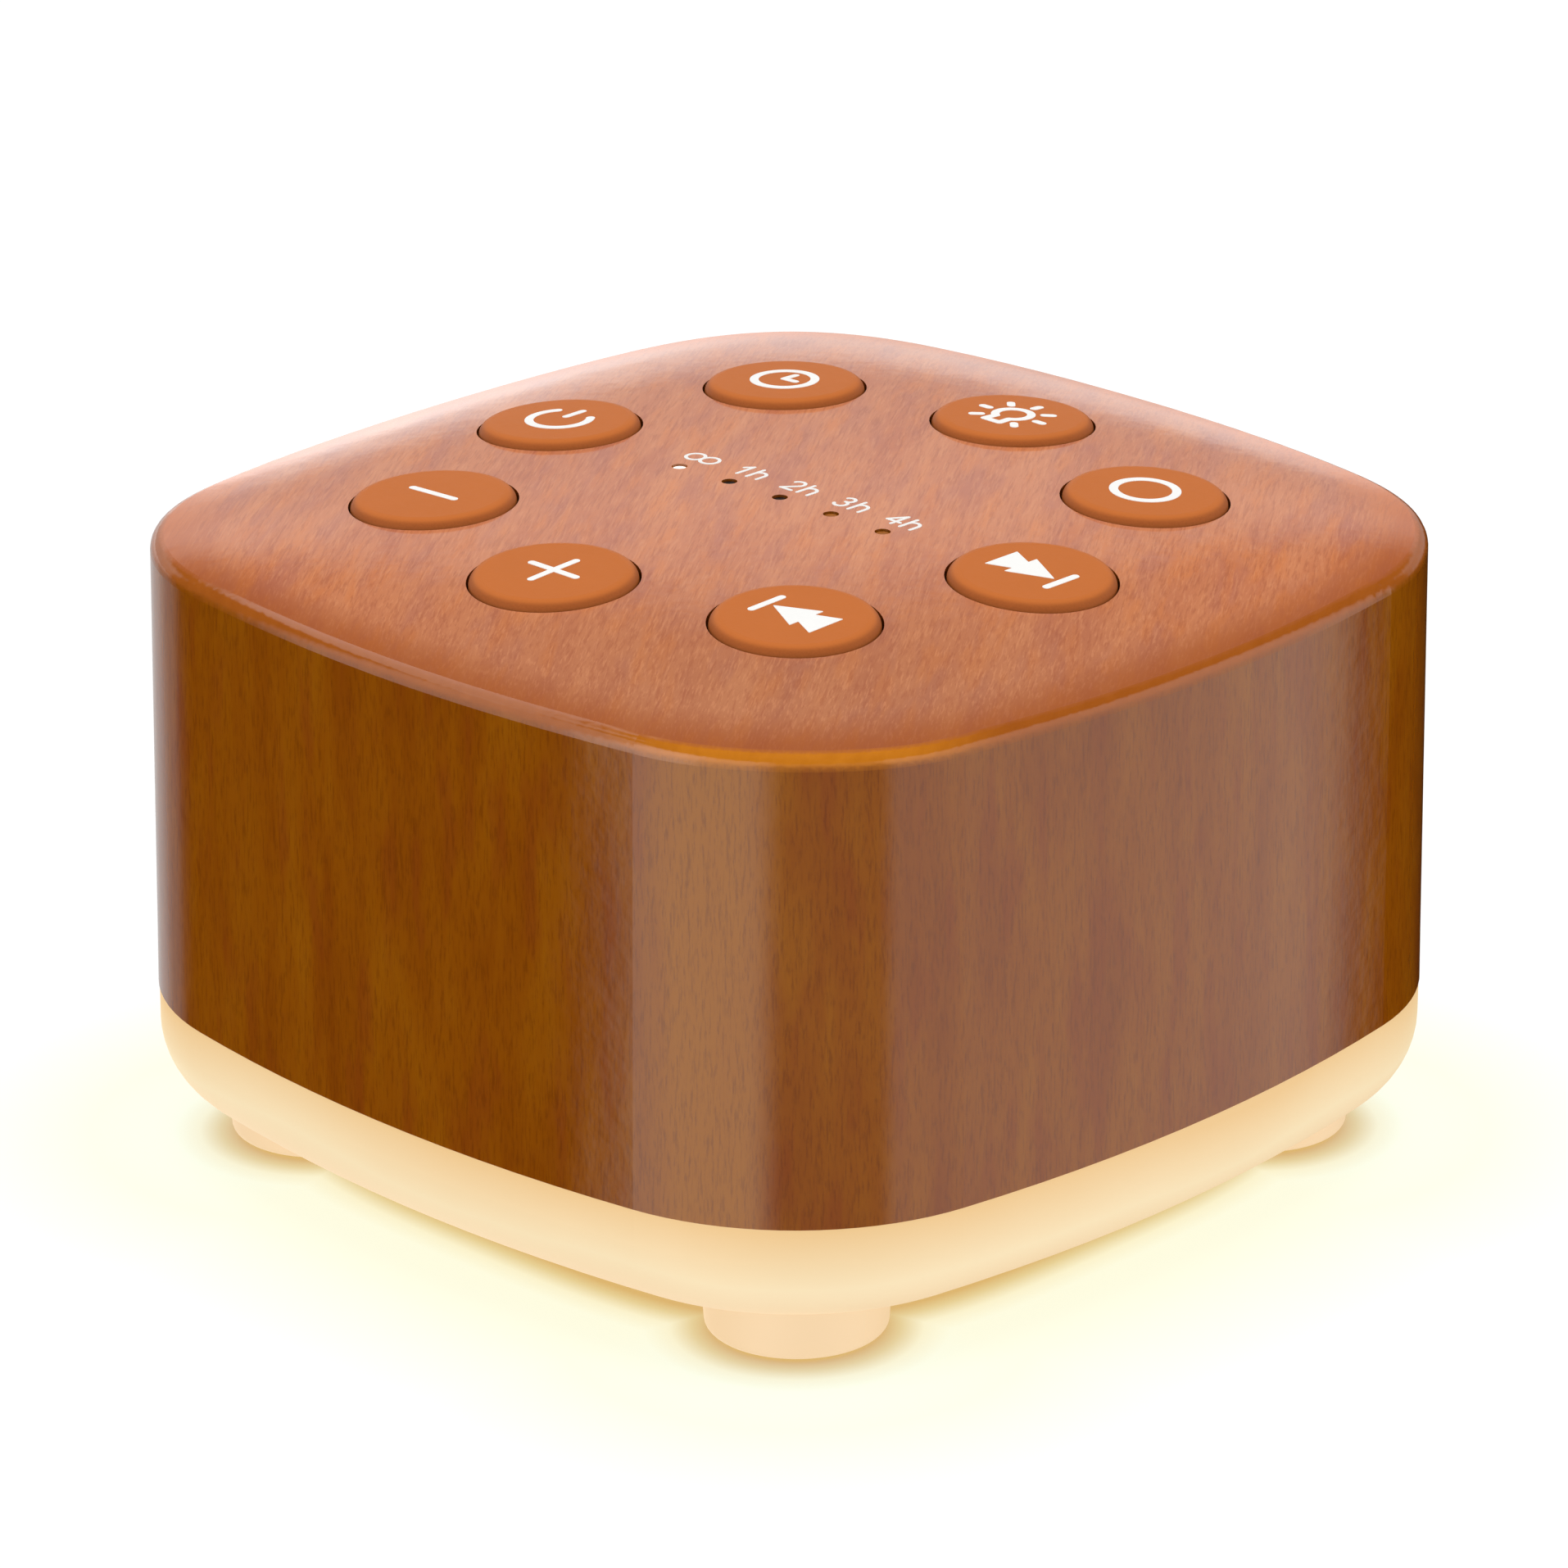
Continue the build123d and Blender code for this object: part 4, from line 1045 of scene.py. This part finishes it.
@dataclass
class Studio:
    """Pale floor, soft light, white surroundings and the camera."""

    camera_place: tuple[float, float, float] = (0.4829, -0.4973, 0.3059)
    camera_right: tuple[float, float, float] = (0.7169, 0.6972, 0.0)
    camera_up: tuple[float, float, float] = (-0.2536, 0.2608, 0.9315)
    lens: float = 180.5
    sensor_width: float = 36.0
    nearest_seen: float = 0.01
    dome: float = 0.8
    lamp_place: tuple[float, float, float] = (0.05, -0.02, 0.9)
    lamp_size: float = 0.7
    lamp_power: float = 2.2
    floor_half: float = 4.0
    floor_colour: float = 0.86
    floor_seen: float = 0.34
    shaded_reach: float = 38.0
    foot_reach: float = 31.9
    foot_radius: float = 8.0
    # Painted light seen by the camera only: a dark golden contact shadow by the base and feet, then a pale
    # yellow pool of glow, then plain floor.
    painted_glow_and_shadow: Tones = (
        (0.0, (0.4, 0.24, 0.07, 1.0)),
        (1.5, (0.48, 0.4, 0.2, 1.0)),
        (3.6, (0.65, 0.66, 0.5, 1.0)),
        (6.0, (0.68, 0.74, 0.62, 1.0)),
        (14.0, (0.7, 0.73, 0.58, 1.0)),
        (30.0, grey(0.74)),
    )
    dim: float = 0.005
    softboxes: tuple[Softbox, ...] = (
        Softbox((-117, 58), (-90, 30), 0.35, (4, 5)),
        Softbox((-114, -64), (-90, 38), 1.3, (6, 14)),
        Softbox((-138, -95), (-8, 40), 1.2, (12, 16), 8),
        Softbox((168, 212), (40, 53), 1.4, (14, 14)),
        Softbox((-2, 62), (-90, 34), 0.9, (10, 6)),
        Softbox((141, 182), (-90, 0), 0.42, (8, 14)),
        Softbox((141, 166), (-90, 0), 0.28, (8, 14)),
        Softbox((128, 140), (-30, 6), 0.6, (5, 5)),
        Softbox((85, 183), (2, 20), 0.44, (10, 10), 8),
        Softbox((85, 183), (19, 23), 0.12, (10, 10), 4),
        Softbox((146, 183), (8, 24), 0.18, (8, 10), 6),
    )

    def build(self) -> None:
        """Sets up the floor, light, surroundings and camera."""
        bpy.context.scene.view_settings.view_transform = "Standard"
        self._floor()
        self._world()
        self._lamp("overhead_light")
        self._camera()

    def _floor(self) -> None:
        """A wide white floor that keeps the machine's shadow, and shows the camera a painted contact shadow
        and a painted pool of glow round the base and its feet.
        """
        made = bmesh.new()
        bmesh.ops.create_grid(made, x_segments=1, y_segments=1, size=self.floor_half)
        floor = placed("floor", made)
        shader = Shader("floor_white")
        seen = Scalar(shader, shader.node("ShaderNodeLightPath").outputs["Is Camera Ray"])
        shader.set(Base_Color=shader.mix(seen, grey(self.floor_colour), grey(self.floor_seen)))
        reach = self.painted_glow_and_shadow[-1][0]
        stops = [(at / reach, tone) for at, tone in self.painted_glow_and_shadow]
        # Painted contact shadow and pool of glow, by distance from the base and its feet.
        lit = shader.ramp(self._from_base(shader) / reach, stops)
        shader.set(Emission_Color=shader.mix(seen, grey(0.0), lit), Emission_Strength=1.0)
        shader.set(Roughness=0.9, Specular_IOR_Level=0.0)
        floor.data.materials.append(shader.material)
        floor.visible_glossy = False

    def _from_base(self, shader: Shader) -> Scalar:
        """How far a place on the floor lies from the shaded ground under the base and its feet."""
        place = shader.place()
        along, across, _ = (shader.math("ABSOLUTE", part) - self.foot_reach for part in shader.parts(place))
        foot = shader.math("SQRT", along * along + across * across) - self.foot_radius
        return shader.math("MINIMUM", shader.outward(place) - self.shaded_reach, foot)

    def _world(self) -> None:
        """A plain dome of light, with softboxes for shiny surfaces to show."""
        world = bpy.data.worlds.new("studio")
        bpy.context.scene.world = world
        world.use_nodes = True
        nodes = Nodes(world.node_tree)
        path = nodes.node("ShaderNodeLightPath")
        camera, shiny, clear = (
            Scalar(nodes, path.outputs[f"Is {kind} Ray"]) for kind in ("Camera", "Glossy", "Transmission")
        )
        x, y, z = nodes.parts(nodes.node("ShaderNodeTexCoord").outputs["Generated"])
        way = nodes.math("ARCTAN2", y, x) * math.degrees(1)
        height = nodes.math("ARCSINE", z) * math.degrees(1)
        panels = sum((box.light(nodes, way, height) for box in self.softboxes), self.dim)
        indirect = shiny * panels + (1 - shiny) * self.dome
        seen = nodes.math("MINIMUM", camera + clear, 1.0)
        background = world.node_tree.nodes["Background"]
        nodes.feed(background.inputs["Color"], seen + (1 - seen) * indirect)
        background.inputs["Strength"].default_value = 1.0

    def _lamp(self, name: str) -> None:
        """A square soft lamp over the machine, facing down."""
        lamp = bpy.data.lights.new(name, "AREA")
        lamp.size = self.lamp_size
        lamp.energy = self.lamp_power
        light = bpy.data.objects.new(name, lamp)
        light.location = self.lamp_place
        light.visible_glossy = False
        bpy.context.scene.collection.objects.link(light)

    def _camera(self) -> None:
        """A long lens that looks down at the front right corner."""
        data = bpy.data.cameras.new("camera")
        data.lens = self.lens
        data.sensor_width = self.sensor_width
        data.sensor_fit = "HORIZONTAL"
        data.clip_start = self.nearest_seen
        camera = bpy.data.objects.new("camera", data)
        right = Vector(self.camera_right).normalized()
        up = Vector(self.camera_up).normalized()
        axes = Matrix((right, up, right.cross(up))).transposed().to_4x4()
        camera.matrix_world = Matrix.Translation(self.camera_place) @ axes
        bpy.context.scene.collection.objects.link(camera)
        bpy.context.scene.camera = camera


def write_sizes() -> None:
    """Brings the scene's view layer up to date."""
    bpy.context.view_layer.update()


def main() -> None:
    """Builds the studio and dresses the machine, sub-assembly by sub-assembly."""
    logging.basicConfig(level=logging.INFO, format="%(name)s: %(message)s")
    groups = (Studio, Housing, ButtonRing, TimerRow, LightBase, Loudspeaker, Electronics, Fixings)
    for part in (group() for group in groups):
        part.build()
        LOG.info("finished %s", type(part).__name__)
    write_sizes()


if __name__ == "__main__":
    main()
